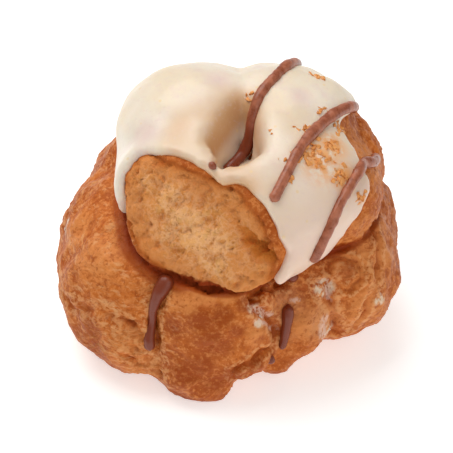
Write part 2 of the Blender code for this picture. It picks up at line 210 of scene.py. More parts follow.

# Spots on the crust, in the same way: where icing was smeared or left a film, where the crust is pale (partly
# # painted light on the right side and the front ledge), and where it is toasted.
CRUST_SPOTS = {
    "smear": (
        ((4.8, -25.9, 21.4), 2), ((6.6, -25, 19.2), 2), ((8.1, -23.4, 17.4), 1.8), ((5.6, -26, 18), 1.6),
        ((8.6, -22.8, 14), 1.6), ((11.5, -22.4, 20), 2.6), ((17.2, -17.4, 19.3), 3), ((17.2, -17.4, 9.6), 3.4),
        ((12.5, -20, 22.5), 2.6), ((-29, -0.9, 20.4), 2.8), ((27.3, -15.3, 15.1), 2),
    ),
    "film": (((11.5, -22.5, 19), 6.5), ((16.6, -18, 13), 6.5), ((10.5, -24.5, 11), 5)),
    # Paler crust, partly painted light on the right side and the top of the front ledge.
    "pale": (
        ((14.5, -20.5, 13.5), 5), ((-6.7, -26.2, 21.9), 2.6), ((-3.1, -25.1, 22.7), 2.6), ((-9.3, -24.7, 21.8), 3),
        ((-4.4, -25, 23.2), 3), ((0, -25.4, 23.6), 2.6), ((6.5, -28, 16.5), 4.5), ((25, -11, 23), 11),
        ((-22.9, -15.7, 24.5), 8), ((24, -14, 14), 8), ((20, -15, 25), 6), ((-26.9, -5.5, 22.7), 6),
        ((25, -4, 38), 10), ((-11, -22, 22.5), 3),
    ),
    "toast": (
        ((-9.3, -25.8, 17), 3.4), ((-4.4, -27.2, 19.4), 4.4), ((-0.8, -27.1, 20.2), 4), ((3, -26.4, 22.3), 2.6),
        ((1.7, -27.9, 17.5), 2.8), ((-4.7, -27.9, 9.7), 5), ((-2.1, -27.2, 5.9), 4.5), ((-2, -27.6, 15), 6),
        ((-7.3, -27.8, 7.6), 4), ((5, -27.2, 9), 3.4), ((8.5, -24, 8), 3), ((21.3, -16, 21.8), 3), ((-23, -18.5, 8), 7),
        ((-24, -20.5, 12.5), 4.5), ((1, -28.4, 7), 6), ((-17.5, -12, 27.5), 3), ((-8.5, -23.6, 23.8), 2.4),
    ),
}
FIBRE_SPOTS = (((-16.4, -23, 12.5), 5), ((-14.5, -24, 6), 5))

# Milky streaks wiped over the crust: the way of each, and half its width, in mm. All lie between these edges.
SMEAR_EDGES = (2 * MM, -14 * MM, 4 * MM, 26 * MM)  # left, back, low and high
SMEAR_WAYS = (
    (((4.6, -25.6, 21.3), (5.8, -24.4, 19.4), (7.6, -23, 17.2)), 0.9),
    (((5.3, -26.2, 18.4), (7.1, -24.7, 16.4), (8.8, -21.6, 13)), 0.8),
    (((10.6, -20.8, 19), (12.4, -19.7, 18.4)), 0.6),
    (((15, -18.2, 22.6), (17.6, -17.2, 20.4), (18.3, -17.1, 17)), 0.8),
    (((17.5, -18.9, 13.2), (17.1, -19.4, 11), (17.2, -18.5, 8.6)), 1.5),
)


def settled(obj):
    """The object with its modifiers applied to its mesh."""
    graph = bpy.context.evaluated_depsgraph_get()
    mesh = bpy.data.meshes.new_from_object(obj.evaluated_get(graph))
    obj.modifiers.clear()
    obj.data = mesh
    return obj


def smoothstep(low, high, value):
    t = min(max((value - low) / (high - low), 0), 1)
    return t * t * (3 - 2 * t)


def rise(low, high, distance):
    """0 up to low and 1 from high on, which are in mm."""
    return smoothstep(low * MM, high * MM, distance)


def fall(low, high, distance):
    return 1 - rise(low, high, distance)


def way_in_metres(points):
    return [Vector(point) * MM for point in points]


def inside(point, spots):
    """How far inside the round spots the point lies, and negative outside them."""
    return max(radius * MM - (point - Vector(centre) * MM).length for centre, radius in spots)


class Graph:
    """Short ways to add nodes to a geometry or shader tree. A value is a plain one or another node's output."""

    def __init__(self, tree):
        self.tree = tree

    def feed(self, node, values):
        for key, value in dict(values).items():
            if isinstance(value, bpy.types.NodeSocket):
                self.tree.links.new(value, node.inputs[key])
            elif value is not None:
                node.inputs[key].default_value = value

    def node(self, kind, values=(), **settings):
        node = self.tree.nodes.new(kind)
        for name, setting in settings.items():
            setattr(node, name, setting)
        self.feed(node, values)
        return node

    def place(self):
        """Where on the bun the point lies."""
        if self.tree.type == "GEOMETRY":
            return self.node("GeometryNodeInputPosition").outputs[0]
        return self.node("ShaderNodeTexCoord").outputs["Object"]

    def maths(self, operation, *values):
        return self.node("ShaderNodeMath", enumerate(values), operation=operation).outputs[0]

    def times(self, first, second):
        return self.maths("MULTIPLY", first, second)

    def times_plus(self, first, second, added):
        return self.maths("MULTIPLY_ADD", first, second, added)

    def less(self, first, second):
        return self.maths("SUBTRACT", first, second)

    def vector(self, operation, *values):
        return self.node("ShaderNodeVectorMath", enumerate(values), operation=operation).outputs[0]

    def scaled(self, vector, amount):
        return self.node("ShaderNodeVectorMath", {0: vector, 3: amount}, operation="SCALE").outputs[0]

    def ramp(self, value, low, high, start=0, end=1):
        """The value eased from start at low to end at high."""
        values = enumerate((value, low, high, start, end))
        return self.node("ShaderNodeMapRange", values, interpolation_type="SMOOTHSTEP").outputs[0]

    def per_metre(self, size):
        return self.maths("DIVIDE", 1, size) if isinstance(size, bpy.types.NodeSocket) else 1 / size

    def noise(self, where, size, detail=2, roughness=0.5):
        """Soft noise about 0.5, with lumps of that size in metres."""
        values = {"Vector": where, "Scale": self.per_metre(size), "Detail": detail, "Roughness": roughness}
        return self.node("ShaderNodeTexNoise", values).outputs[0]

    def swell(self, where, size, detail=2, roughness=0.5):
        """Soft noise about 0."""
        return self.less(self.noise(where, size, detail, roughness), 0.5)

    def warped(self, where, size, amount):
        """The place pushed about by up to about the amount, in swirls of that size."""
        values = {"Vector": where, "Scale": self.per_metre(size), "Detail": 2}
        swirl = self.node("ShaderNodeTexNoise", values).outputs["Color"]
        return self.vector("ADD", where, self.scaled(self.vector("SUBTRACT", swirl, (0.5, 0.5, 0.5)), amount))

    def cells(self, where, size, feature="F1"):
        """Cells of that size: how far from each one's middle, in cells, and its own colour."""
        values = {"Vector": where, "Scale": self.per_metre(size)}
        return self.node("ShaderNodeTexVoronoi", values, feature=feature).outputs

    def ridges(self, where, size, detail=2, sharpness=3):
        """Thin raised lines, 1 on the line and 0 between them."""
        band = self.maths("ABSOLUTE", self.times_plus(self.noise(where, size, detail), 2, -1))
        line = self.less(1, self.maths("MINIMUM", self.times(band, 2), 1))
        return self.maths("POWER", line, sharpness)

    def mix(self, factor, first, second):
        return self.node("ShaderNodeMix", {0: factor, 6: first, 7: second}, data_type="RGBA").outputs[2]

    def toned(self, colour, look, *rows):
        """The colour with each row's tone over it, where its amount goes from low to high, by up to the share."""
        for amount, low, high, share, tone in rows:
            colour = self.mix(self.ramp(amount, low, high, 0, share), colour, getattr(look, tone))
        return colour

    def bump(self, strength, distance, height):
        values = {"Strength": strength, "Distance": distance, "Height": height}
        return self.node("ShaderNodeBump", values).outputs[0]

    def raised(self, geometry, height):
        """The geometry pushed out along its normals."""
        offset = self.scaled(self.node("GeometryNodeInputNormal").outputs[0], height)
        return self.node("GeometryNodeSetPosition", {"Geometry": geometry, "Offset": offset}).outputs[0]

    def attribute(self, name):
        if self.tree.type == "GEOMETRY":
            node = self.node("GeometryNodeInputNamedAttribute", {"Name": name}, data_type="FLOAT")
            return node.outputs["Attribute"]
        return self.node("ShaderNodeAttribute", attribute_name=name).outputs["Fac"]


def geometry_recipe(name, inputs):
    """A new geometry tree: its graph and its inputs. A default that is None is a material, which has none."""
    tree = bpy.data.node_groups.new(name, "GeometryNodeTree")
    for side in ("INPUT", "OUTPUT"):
        tree.interface.new_socket(name="Geometry", in_out=side, socket_type="NodeSocketGeometry")
    for label, default in inputs.items():
        kind = {float: "Float", int: "Int", str: "String"}.get(type(default), "Material")
        socket = tree.interface.new_socket(name=label, in_out="INPUT", socket_type="NodeSocket" + kind)
        if default is not None:
            socket.default_value = default
    graph = Graph(tree)
    return graph, graph.node("NodeGroupInput").outputs


def close_recipe(graph, geometry, material):
    """End the tree in real geometry of one material."""
    real = graph.node("GeometryNodeRealizeInstances", {"Geometry": geometry}).outputs[0]
    coated = graph.node("GeometryNodeSetMaterial", {"Geometry": real, "Material": material}).outputs[0]
    graph.node("NodeGroupOutput", {0: coated})
    return graph.tree


def give_recipe(obj, tree, values):
    modifier = obj.modifiers.new(tree.name, "NODES")
    modifier.node_group = tree
    for socket in tree.interface.items_tree:
        if socket.in_out == "INPUT" and socket.name in values:
            modifier[socket.identifier] = values[socket.name]
    obj.update_tag()


def follow_recipe(obj, tree, values):
    """Run the tree on the object with the named values, and keep the result as its mesh."""
    give_recipe(obj, tree, values)
    return settled(obj)


def new_object(name, data):
    old = bpy.data.objects.get(name)
    if old:
        bpy.data.objects.remove(old)
    obj = bpy.data.objects.new(name, data)
    bpy.context.scene.collection.objects.link(obj)
    return obj


def object_of(name, shape):
    """A new object with the bmesh's shape, which is freed."""
    mesh = bpy.data.meshes.new(name)
    shape.to_mesh(mesh)
    shape.free()
    return new_object(name, mesh)


def finish_piece(obj, slot, *nodes):
    """Smooth shading, and the piece's place in the model."""
    obj.data.shade_smooth()
    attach(obj, "root")
    if nodes:
        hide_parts(*nodes)


# --- dough ---


def lobe(name, centre, radii, squareness):
    """An ellipsoid, or a squarer lump where squareness is under 1."""
    ball = bmesh.new()
    bmesh.ops.create_icosphere(ball, subdivisions=5, radius=1)
    for vertex in ball.verts:
        squared = [math.copysign(abs(x) ** squareness, x) for x in vertex.co]
        vertex.co = Vector([(x * r + c) * MM for x, r, c in zip(squared, radii, centre)])
    return object_of(name, ball)


def fused(name, lumps, fillet, voxel):
    """The lumps grown into one closed skin, with the creases between them rounded."""
    joined = bmesh.new()
    for obj in lumps:
        joined.from_mesh(obj.data)
        bpy.data.objects.remove(obj)
    body = object_of(name, joined)
    skin = body.modifiers.new("skin", "REMESH")
    skin.mode = "VOXEL"
    skin.voxel_size = voxel
    rounding = body.modifiers.new("rounding", "SMOOTH")
    rounding.factor = 0.5
    rounding.iterations = fillet
    return settled(body)


def surface_of(*bodies):
    mesh = bmesh.new()
    for body in bodies:
        mesh.from_mesh(body.data)
    surface = BVHTree.FromBMesh(mesh)
    mesh.free()
    return surface


def pit_across(point):
    """Where the point lies across the pit: 0 at its middle and 1 on its wall, and how far it lies to the back."""
    away = point - PIT_MOUTH
    across = (away - PIT_WAY_IN * away.dot(PIT_WAY_IN)).xy
    across.rotate(Matrix.Rotation(-PIT_TURN, 2))
    wall_x = PIT_WALLS["right" if across.x > 0 else "left"]
    wall_y = PIT_WALLS["back" if across.y > 0 else "front"]
    square = 1.4 if across.x < 0 else 2
    return ((abs(across.x) / wall_x) ** square + (abs(across.y) / wall_y) ** square) ** (1 / square), across.y


def lip_dip(point):
    """How far the pit's lip dips here, towards the torn face."""
    return PIT_LIP_DIP * fall(1, 5, (point - PIT_LIP).length)


def sink_pit(body):
    for vertex in body.data.vertices:
        reach, backwards = pit_across(vertex.co)
        if (vertex.co - PIT_MOUTH).length < 3 * PIT_DEPTH:
            floor_edge = 0.6 - 0.25 * rise(-2, 4, backwards)
            vertex.co += PIT_WAY_IN * PIT_DEPTH * (1 - smoothstep(floor_edge, 1.06, reach))
        vertex.co.z -= lip_dip(vertex.co)


def torn_axes():
    long_way = (TORN_LONG_WAY - TORN_NORMAL * TORN_LONG_WAY.dot(TORN_NORMAL)).normalized()
    return long_way, TORN_NORMAL.cross(long_way)


def torn_reach(point):
    """0 at the torn oval's centre and 1 on its rim, seen along its normal."""
    long_way, short_way = torn_axes()
    away = point - TORN_CENTRE
    return math.hypot(away.dot(long_way) / TORN_HALF_LENGTH, away.dot(short_way) / TORN_HALF_WIDTH)


def flatten_torn_face(body):
    for vertex in body.data.vertices:
        height = (vertex.co - TORN_CENTRE).dot(TORN_NORMAL)
        if height > -8 * MM:
            share = 1 - smoothstep(0.9, 1.25, torn_reach(vertex.co))
            vertex.co -= TORN_NORMAL * height * TORN_FLATNESS * share


def roughen(body):
    """Uneven crust: swells over a centimetre and crags over a few millimetres, weaker on the crown."""
    for vertex, normal in [(vertex, vertex.normal.copy()) for vertex in body.data.vertices]:
        swell = noise.noise(vertex.co / (11 * MM))
        crag = noise.noise(vertex.co / (4 * MM) + Vector((7, 3, 1)))
        strength = 1 - 0.6 * rise(24, 32, vertex.co.z)
        vertex.co += normal * (CRUST_SWELL * swell + CRUST_CRAG * crag) * strength


def dough_form():
    """The bun's smooth main form: lobes of dough grown together, the pit and the flat of the torn face. Also gives the
    surfaces of the base and of the top, whose seam shows as a fold."""
    base = fused("base", [lobe(name, *row) for name, row in BASE_LOBES.items()], LOBE_FILLET, FORM_VOXEL)
    top = fused("top", [lobe(name, *row) for name, row in TOP_LOBES.items()], CROWN_FILLET, FORM_VOXEL)
    sink_pit(top)
    flatten_torn_face(top)
    halves = [surface_of(base), surface_of(top)]
    form = fused("form", [base, top], SEAM_FILLET, FORM_VOXEL)
    roughen(form)
    return form, halves


def way_distance(point, way):
    """How far the point is from a way made of straight runs."""
    nearest = math.inf
    for start, end in zip(way, way[1:]):
        run = end - start
        along = min(max((point - start).dot(run) / run.length_squared, 0), 1)
        nearest = min(nearest, (point - start - run * along).length)
    return nearest


def add_mask(body, name, values):
    layer = body.data.attributes.new(name, "FLOAT", "POINT")
    layer.data.foreach_set("value", values)


def pushed(point, size, amount):
    """The point moved by up to about the amount, in mm, by noise with lumps of that size."""
    return point + noise.noise_vector(point / (size * MM)) * amount * MM


def press_cracks(body, halves):
    """Ragged cracks and the fold between base and top, with a mask of painted shade in them, darker in deeper cracks,
    and a mask of painted highlight on the edges beside them, which the crust's colour and relief read."""
    vertices = body.data.vertices
    normals = [vertex.normal.copy() for vertex in vertices]
    ragged = [pushed(vertex.co, 2.6, 0.9) for vertex in vertices]
    crease, worn = [0.0] * len(normals), [0.0] * len(normals)
    for points, half_width, depth in CRACKS.values():
        way = way_in_metres(points)
        middle = sum(way, Vector()) / len(way)
        span = max((point - middle).length for point in way) + 3 * half_width * MM
        for index, vertex in enumerate(vertices):
            if (ragged[index] - middle).length > span:
                continue
            reach = way_distance(ragged[index], way) / (half_width * MM)
            if reach < CRACK_REACH:
                vertex.co -= normals[index] * depth * MM * (1 - smoothstep(0, 1.6, reach))
                # Painted shade in the crack, darker where the crack is deeper.
                crease[index] = max(crease[index], (1 - smoothstep(0, 1.3, reach)) * min(depth / 2.5, 1))
                beside = (reach - 1) * half_width
                # Painted highlight on the edges beside the crack.
                worn[index] = max(worn[index], smoothstep(0, 0.6, beside) * (1 - smoothstep(0.8, 2, beside)))
    for index, vertex in enumerate(vertices):
        x, y, z = vertex.co
        if FOLD_HEIGHTS[0] < z < FOLD_HEIGHTS[1]:
            off_base, off_top = (half.find_nearest(vertex.co)[3] for half in halves)
            off_seam = max(off_base, off_top)
            grown_together = rise(14, 20, x) * rise(24, 30, z)
            fold = fall(0.2, SEAM_HALF_WIDTH, off_seam) * (1 - 0.6 * rise(30, 38, z)) * (1 - 0.8 * grown_together)
            vertex.co -= normals[index] * SEAM_DEPTH * fold * rise(-1.2, 1.2, off_top - off_base)
            x, y, z = vertex.co
            # Painted shadow along the seam under the crown, wider on the left.
            seam_shade_half_width = 2 + 2.6 * rise(-6, -12, x)
            seam_shade = fall(0.6, seam_shade_half_width, off_seam) * (1 - 0.6 * rise(32, 40, z))
            seam_shade *= (1 - 0.85 * grown_together) * (1 - 0.5 * rise(8, 14, y))
            crease[index] = max(crease[index], seam_shade)
    add_mask(body, "crease", crease)
    add_mask(body, "worn", worn)


def tear_crumb(body, halves):
    """The torn face set a little behind its thin crust, with its hollows, and the masks of both."""
    long_way, short_way = torn_axes()
    base, top = halves
    torn, hollow, reaches = [], [], []
    for vertex in body.data.vertices:
        height = (vertex.co - TORN_CENTRE).dot(TORN_NORMAL)
        reach, deepest = 9, 0
        if height > -6 * MM and torn_reach(vertex.co) < 1.4:
            if base.find_nearest(vertex.co)[3] > top.find_nearest(vertex.co)[3]:
                reach = torn_reach(pushed(vertex.co, 2.4, 1))
                reach *= 1 - 0.12 * rise(0, 6, (TORN_CENTRE - vertex.co).dot(short_way))
                reach -= 0.12 * rise(-1.5, 1, inside(vertex.co, ICING_BITES))
            place = pushed(vertex.co, 2, 0.5)
            for centre, radius, depth in HOLLOWS:
                away = place - Vector(centre) * MM
                steep = radius * MM * (0.65 if away.dot(short_way) > 0 else 1.15)
                across = math.hypot(away.dot(long_way) / (radius * MM), away.dot(short_way) / steep)
                deepest = max(deepest, depth * (1 - smoothstep(0.3, 1.15, across)))
        torn.append(1 - smoothstep(0.99, 1.07, reach))
        hollow.append(min(deepest / 2, 1))
        reaches.append(min(reach, 2))
        vertex.co -= TORN_NORMAL * (TORN_STEP * torn[-1] + deepest * MM)
    for name, values in {"torn": torn, "hollow": hollow, "torn_reach": reaches}.items():
        add_mask(body, name, values)


def spot_mask(body, name, spots, sharpness=1):
    """1 at each spot's middle, falling to 0 at its radius."""
    spots = [(Vector(centre) * MM, radius * MM) for centre, radius in spots]
    values = []
    for vertex in body.data.vertices:
        nearest = min((vertex.co - centre).length / radius for centre, radius in spots)
        values.append(1 - smoothstep(1 - sharpness, 1, nearest) if nearest < 1 else 0)
    add_mask(body, name, values)


def smear_mask(body):
    """Milky streaks of icing wiped over the crust."""
    ways = [(way_in_metres(points), half_width * MM) for points, half_width in SMEAR_WAYS]
    left, back, low, high = SMEAR_EDGES
    values = []
    for vertex in body.data.vertices:
        place = pushed(vertex.co, 1.5, 0.7)
        near = place.x > left and place.y < back and low < place.z < high
        streaks = (1 - smoothstep(0.4, 1.1, way_distance(place, way) / width) for way, width in ways)
        values.append(max(streaks) if near else 0)
    add_mask(body, "milky", values)


def settle_foot(body):
    """Press the underside flat, with a rounded edge where it meets the table."""
    for vertex in body.data.vertices:
        if vertex.co.z < FOOT_HEIGHT * MM:
            vertex.co.z = (vertex.co.z + math.hypot(vertex.co.z, FOOT_EDGE)) / 2
    lowest = min(vertex.co.z for vertex in body.data.vertices)
    for vertex in body.data.vertices:
        vertex.co.z -= lowest * fall(0, FOOT_HEIGHT, vertex.co.z)


def crust_relief_recipe():
    """Lumps, lying wrinkles and grain on the crust, and fine open cells on the crumb, pushed out along the normals."""
    lengths = {
        "Lump height": 0.8, "Lump size": 4.6, "Wrinkle height": 0.3, "Wrinkle size": 3, "Grain height": 0.15,
        "Crag height": 0.6, "Crag size": 2.2, "Pore depth": 0.35, "Pore size": 1.2,
    }
    inputs = {label: value * MM for label, value in lengths.items()}
    graph, given = geometry_recipe("Crust relief", inputs | {"Material": None})
    place = graph.place()
    torn, iced, fibre = (graph.attribute(name) for name in ("torn", "iced", "fibre"))

    lump = graph.swell(graph.warped(place, 6 * MM, 3 * MM), given["Lump size"])
    lying = graph.vector("MULTIPLY", graph.warped(place, 7 * MM, 4 * MM), (0.6, 0.6, 1.7))
    patchy = graph.ramp(graph.noise(place, 7 * MM, 1), 0.4, 0.6)
    wrinkle = graph.times(graph.ridges(lying, given["Wrinkle size"], 3), patchy)
    grain = graph.swell(place, 1.3 * MM, 3, 0.6)
    strips = graph.vector("MULTIPLY", graph.warped(place, 4 * MM, 1.6 * MM), (0.35, 0.35, 2.4))
    strand = graph.swell(strips, 2.2 * MM)
    right = graph.ramp(graph.node("ShaderNodeSeparateXYZ", {0: place}).outputs[0], 8 * MM, 18 * MM, 0.4, 1.5)
    crag = graph.times(graph.swell(graph.warped(place, 3 * MM, 2 * MM), given["Crag size"], 3, 0.6), right)

    crust = graph.times(wrinkle, given["Wrinkle height"])
    crust = graph.times_plus(lump, given["Lump height"], crust)
    crust = graph.times_plus(grain, given["Grain height"], crust)
    crust = graph.times_plus(crag, given["Crag height"], crust)
    crust = graph.times_plus(graph.times(strand, fibre), FIBRE_HEIGHT, crust)
    crust = graph.times(crust, graph.less(1, iced))

    pulled = graph.warped(place, 2.5 * MM, 1.4 * MM)
    pore = graph.ramp(graph.cells(pulled, given["Pore size"], "SMOOTH_F1")["Distance"], 0.5, 0.1)
    broad = graph.ramp(graph.noise(pulled, graph.times(given["Pore size"], 2.2), 3, 0.6), 0.52, 0.34)
    crumb = graph.times(graph.times_plus(broad, 2, pore), given["Pore depth"])
    crumb = graph.times_plus(graph.times(grain, given["Grain height"]), 2, graph.times(crumb, -1))

    height = graph.node("ShaderNodeMix", {0: torn, 2: crust, 3: crumb}).outputs[0]
    result = graph.raised(given["Geometry"], height)
    for name, value in {"wrinkle": wrinkle, "lump": lump, "crag": crag, "pore": pore, "broad": broad}.items():
        values = {"Geometry": result, "Name": name, "Value": value}
        result = graph.node("GeometryNodeStoreNamedAttribute", values, data_type="FLOAT").outputs[0]
    return close_recipe(graph, result, given["Material"])


def new_material(name):
    """A material with only its shader and output: the material, its graph, its shader and the place on the bun."""
    material = bpy.data.materials.new(name)
    material.use_nodes = True
    graph = Graph(material.node_tree)
    return material, graph, material.node_tree.nodes["Principled BSDF"], graph.place()


def crust_material(look):
    """Browned crust with a golden painted highlight on the edges beside its cracks and on its raised parts, painted
    shade in its folds and hollows, pale crumb with painted shade in its pores on the torn face, and thin icing smears.
    """
    material, graph, shader, place = new_material("baked_crust")
    torn, reach, crease, worn, smear, milky, film, pale, toast, fibre, hollow, wrinkle, lump, crag, pore, broad = (
        graph.attribute(name) for name in (
            "torn", "torn_reach", "crease", "worn", "smear", "milky", "film", "pale", "toast", "fibre", "hollow",
            "wrinkle", "lump", "crag", "pore", "broad",
        )
    )

    def noise_at(shift, *sizes):
        return graph.noise(graph.vector("ADD", place, shift), *sizes)

    patches = graph.noise(graph.warped(place, 9 * MM, 5 * MM), 12 * MM, 3, 0.55)
    mottle = graph.noise(graph.warped(place, 4 * MM, 2 * MM), 2.6 * MM, 5, 0.68)
    grain = graph.noise(place, 0.8 * MM, 3, 0.6)
    speck = noise_at((0.02, 0.05, 0.01), 0.5 * MM, 2, 0.6)
    lying = graph.vector("MULTIPLY", graph.warped(place, 5 * MM, 3 * MM), (0.45, 0.45, 1.5))
    sides = graph.node("ShaderNodeSeparateXYZ", {0: place}).outputs
    wrinkled = graph.times(graph.ramp(sides[0], -6 * MM, -13 * MM), graph.ramp(graph.noise(place, 5 * MM, 1), 0.4, 0.6))
    line = graph.times(graph.ridges(lying, 1.6 * MM, 3, 5), graph.times_plus(wrinkled, 0.8, 0.2))
    streak = graph.swell(graph.vector("ADD", lying, (0.02, 0.03, 0.04)), 1.1 * MM, 3, 0.6)
    streak = graph.times(streak, graph.ramp(sides[0], -4 * MM, -12 * MM))

    brown = graph.mix(graph.ramp(patches, 0.36, 0.6, 0.2, 1), look.crust_dark, look.crust_mid)
    brown = graph.toned(
        brown, look,
        (mottle, 0.5, 0.7, 0.5, "crust_light"),
        (mottle, 0.47, 0.36, 0.45, "crust_dark"),
        (toast, 0, 0.9, 0.8, "crust_toast"),
        # Paler crust, partly painted light on the right side and the front ledge.
        (pale, 0, 0.7, 0.7, "crust_light"),
        # Painted highlight on the raised crags, and painted shade in their hollows.
        (crag, 0.04, 0.22, 0.45, "crust_light"),
        (crag, -0.04, -0.22, 0.6, "crust_dark"),
        (film, 0.05, 0.7, 0.4, "icing_film"),
        # Painted shade in the hollows between the lumps.
        (lump, -0.04, -0.22, 0.45, "crust_dark"),
        # Painted highlight on the ridge lines.
        (line, 0.2, 0.9, 0.6, "crust_light"),
        (streak, 0.02, 0.16, 0.6, "crust_edge"),
        (streak, -0.03, -0.16, 0.5, "crust_dark"),
        # Painted highlight on the wrinkle ridges.
        (wrinkle, 0.3, 1, 0.3, "crust_light"),
        (grain, 0.51, 0.66, 0.65, "crust_light"),
        (grain, 0.46, 0.32, 0.65, "crust_dark"),
        (speck, 0.54, 0.72, 0.45, "crust_light"),
        # Painted highlight on the edges beside the cracks.
        (graph.times(worn, graph.ramp(grain, 0.36, 0.6)), 0.1, 0.8, 0.4, "crust_edge"),
        (fibre, 0.2, 1, 0.35, "crust_light"),
        (toast, 0.1, 0.9, 0.45, "crust_toast"),
        # Painted shade in the cracks and along the seam under the crown.
        (crease, 0.05, 0.45, 0.85, "crust_dark"),
        (sides[2], 2 * MM, 0.2 * MM, 0.6, "crust_deep"),
    )

    heart = graph.times_plus(graph.swell(place, 6 * MM, 3, 0.6), 1.1, reach)
    torn_web = graph.ridges(graph.warped(place, 2 * MM, 1.6 * MM), 1.7 * MM, 3, 2)
    crumb = graph.toned(
        graph.mix(graph.ramp(heart, 0.2, 0.85), look.crumb_pale, look.crumb_gold), look,
        (noise_at((0.03, 0.01, 0.02), 3.4 * MM, 3, 0.6), 0.5, 0.66, 0.4, "crumb_shade"),
        (graph.noise(place, 4.5 * MM, 3, 0.6), 0.5, 0.64, 0.6, "crust_light"),
        # Painted shade: darker gold in the deeper pockets, and darker in the pores of the crumb.
        (broad, 0.1, 0.9, 0.7, "crumb_gold"),
        (pore, 0.3, 1, 0.35, "crumb_deep"),
        (torn_web, 0.3, 1, 0.7, "crumb_web"),
        (grain, 0.52, 0.7, 0.45, "crumb_web"),
        (grain, 0.46, 0.32, 0.6, "crumb_deep"),
        (speck, 0.52, 0.68, 0.5, "crumb_web"),
        (heart, 0.35, 0.9, 0.75, "crust_light"),
        (reach, 0.62, 1, 0.7, "crust_light"),
        (reach, 0.87, 1, 0.8, "crust_mid"),
        (reach, 0.95, 1.04, 0.7, "crust_toast"),
        (hollow, 0.08, 0.85, 0.85, "crumb_hollow"),
    )

    upright = graph.vector("MULTIPLY", graph.warped(place, 3 * MM, 2.4 * MM), (1.4, 1.4, 0.6))
    ragged = graph.ramp(graph.noise(upright, 1.5 * MM, 4, 0.65), 0.4, 0.6)
    wiped = graph.ramp(graph.noise(upright, 0.9 * MM, 3, 0.6), 0.34, 0.56)
    colour = graph.toned(
        graph.mix(torn, brown, crumb), look,
        # Painted shade, darkest deep in the cracks and at the seam under the crown.
        (crease, 0.5, 1, 0.95, "crust_deep"),
        (graph.times(graph.ramp(smear, 0, 0.7), ragged), 0, 1, 0.75, "icing_cream"),
        (graph.times(milky, wiped), 0, 1, 0.7, "icing_thin"),
    )

    fine = graph.noise(place, 0.3 * MM, 3, 0.6)
    rough_crust = graph.times_plus(mottle, 0.9, graph.times(fine, 0.15))
    rough_crust = graph.times_plus(line, 0.45, graph.times_plus(grain, 0.4, rough_crust))
    cell = graph.cells(graph.warped(place, MM, 0.6 * MM), 0.55 * MM)["Distance"]
    bump = graph.node("ShaderNodeMix", {0: torn, 2: rough_crust, 3: graph.times_plus(cell, 0.45, fine)}).outputs[0]
    graph.feed(shader, {
        "Base Color": colour, "Roughness": graph.times_plus(torn, 0.3, graph.ramp(mottle, 0.3, 0.7, 0.6, 0.42)),
        "Normal": graph.bump(0.7, 0.45 * MM, bump), "Specular IOR Level": 0.16,
    })
    return material


class BUN_OT_dough(bpy.types.Operator):
    """Bake the dough: the lobed bun with its cracks, its torn face and its crust relief"""

    bl_idname = "bun.bake_dough"
    bl_label = "Bake the Dough"

    def execute(self, context):
        look = context.scene.iced_bun
        noise.seed_set(NOISE_SEED)
        form, halves = dough_form()
        bun = fused("choux_bun", [form], CRUST_FILLET, look.crust_voxel)
        press_cracks(bun, halves)
        tear_crumb(bun, halves)
        add_mask(bun, "iced", [rise(-0.4, 0.8, icing_cover(vertex.co)) for vertex in bun.data.vertices])
        smear_mask(bun)
        for name, spots in CRUST_SPOTS.items():
            spot_mask(bun, name, spots)
        spot_mask(bun, "fibre", FIBRE_SPOTS, 0.6)
        relief = {
            "Lump height": look.lump_height, "Wrinkle height": look.wrinkle_height, "Pore depth": look.pore_depth,
            "Material": crust_material(look),
        }
        follow_recipe(bun, crust_relief_recipe(), relief)
        settle_foot(bun)
        finish_piece(bun, "crust", "choux")
        return {"FINISHED"}


# --- icing ---


def icing_edge_height(angle):
    for (low, low_height), (high, high_height) in zip(ICING_EDGE, ICING_EDGE[1:]):
        if low <= angle <= high:
            return (low_height + (high_height - low_height) * smoothstep(low, high, angle)) * MM
    raise ValueError(f"no icing edge at {angle} degrees")


def icing_cover(point):
    """How far inside the icing's edge the point lies: over 0 is iced."""
    point = point + Vector((0, 0, lip_dip(point)))
    away = point - ICING_CENTRE
    angle = (math.degrees(math.atan2(away.y, away.x)) + 90) % 360 - 90
    above_edge = point.z - icing_edge_height(angle)
    behind_torn = -(point - TORN_CENTRE).dot(TORN_NORMAL) - TORN_SKIN
    along = (point - TORN_CENTRE).dot(TORN_LONG_WAY) / TORN_HALF_LENGTH
    past_torn = (torn_reach(point) - ICING_TORN_REACH[0] - ICING_TORN_REACH[1] * along) * TORN_HALF_WIDTH
    in_pit = (PIT_COVER - pit_across(point)[0]) * PIT_WALLS["front"] if above_edge > 0 else -1
    cover = max(min(above_edge, max(past_torn, behind_torn)), inside(point, ICING_DABS), in_pit)
    return min(cover, -inside(point, ICING_BITES))


def cut_along_edge(mesh, cover):
    """Split the faces along the icing's edge, and drop what lies outside it."""
    for vertex in mesh.verts:
        if abs(vertex[cover]) < SNAP:
            vertex[cover] = 0
    on_edge = [vertex for vertex in mesh.verts if vertex[cover] == 0]
    for edge in list(mesh.edges):
        start, end = (vertex[cover] for vertex in edge.verts)
        if start * end < 0:
            split = bmesh.utils.edge_split(edge, edge.verts[0], start / (start - end))[1]
            split[cover] = 0
            on_edge.append(split)
    bmesh.ops.connect_verts(mesh, verts=on_edge)
    outside = [face for face in mesh.faces if sum(vertex[cover] for vertex in face.verts) <= 0]
    bmesh.ops.delete(mesh, geom=outside, context="FACES")


def keep_largest_patch(mesh):
    left = set(mesh.faces)
    patches = []
    while left:
        patch, front = set(), [next(iter(left))]
        while front:
            face = front.pop()
            if face in left:
                left.remove(face)
                patch.add(face)
                front += [other for edge in face.edges for other in edge.link_faces]
        patches.append(patch)
    scraps = [face for patch in sorted(patches, key=len)[:-1] for face in patch]
    bmesh.ops.delete(mesh, geom=scraps, context="FACES")


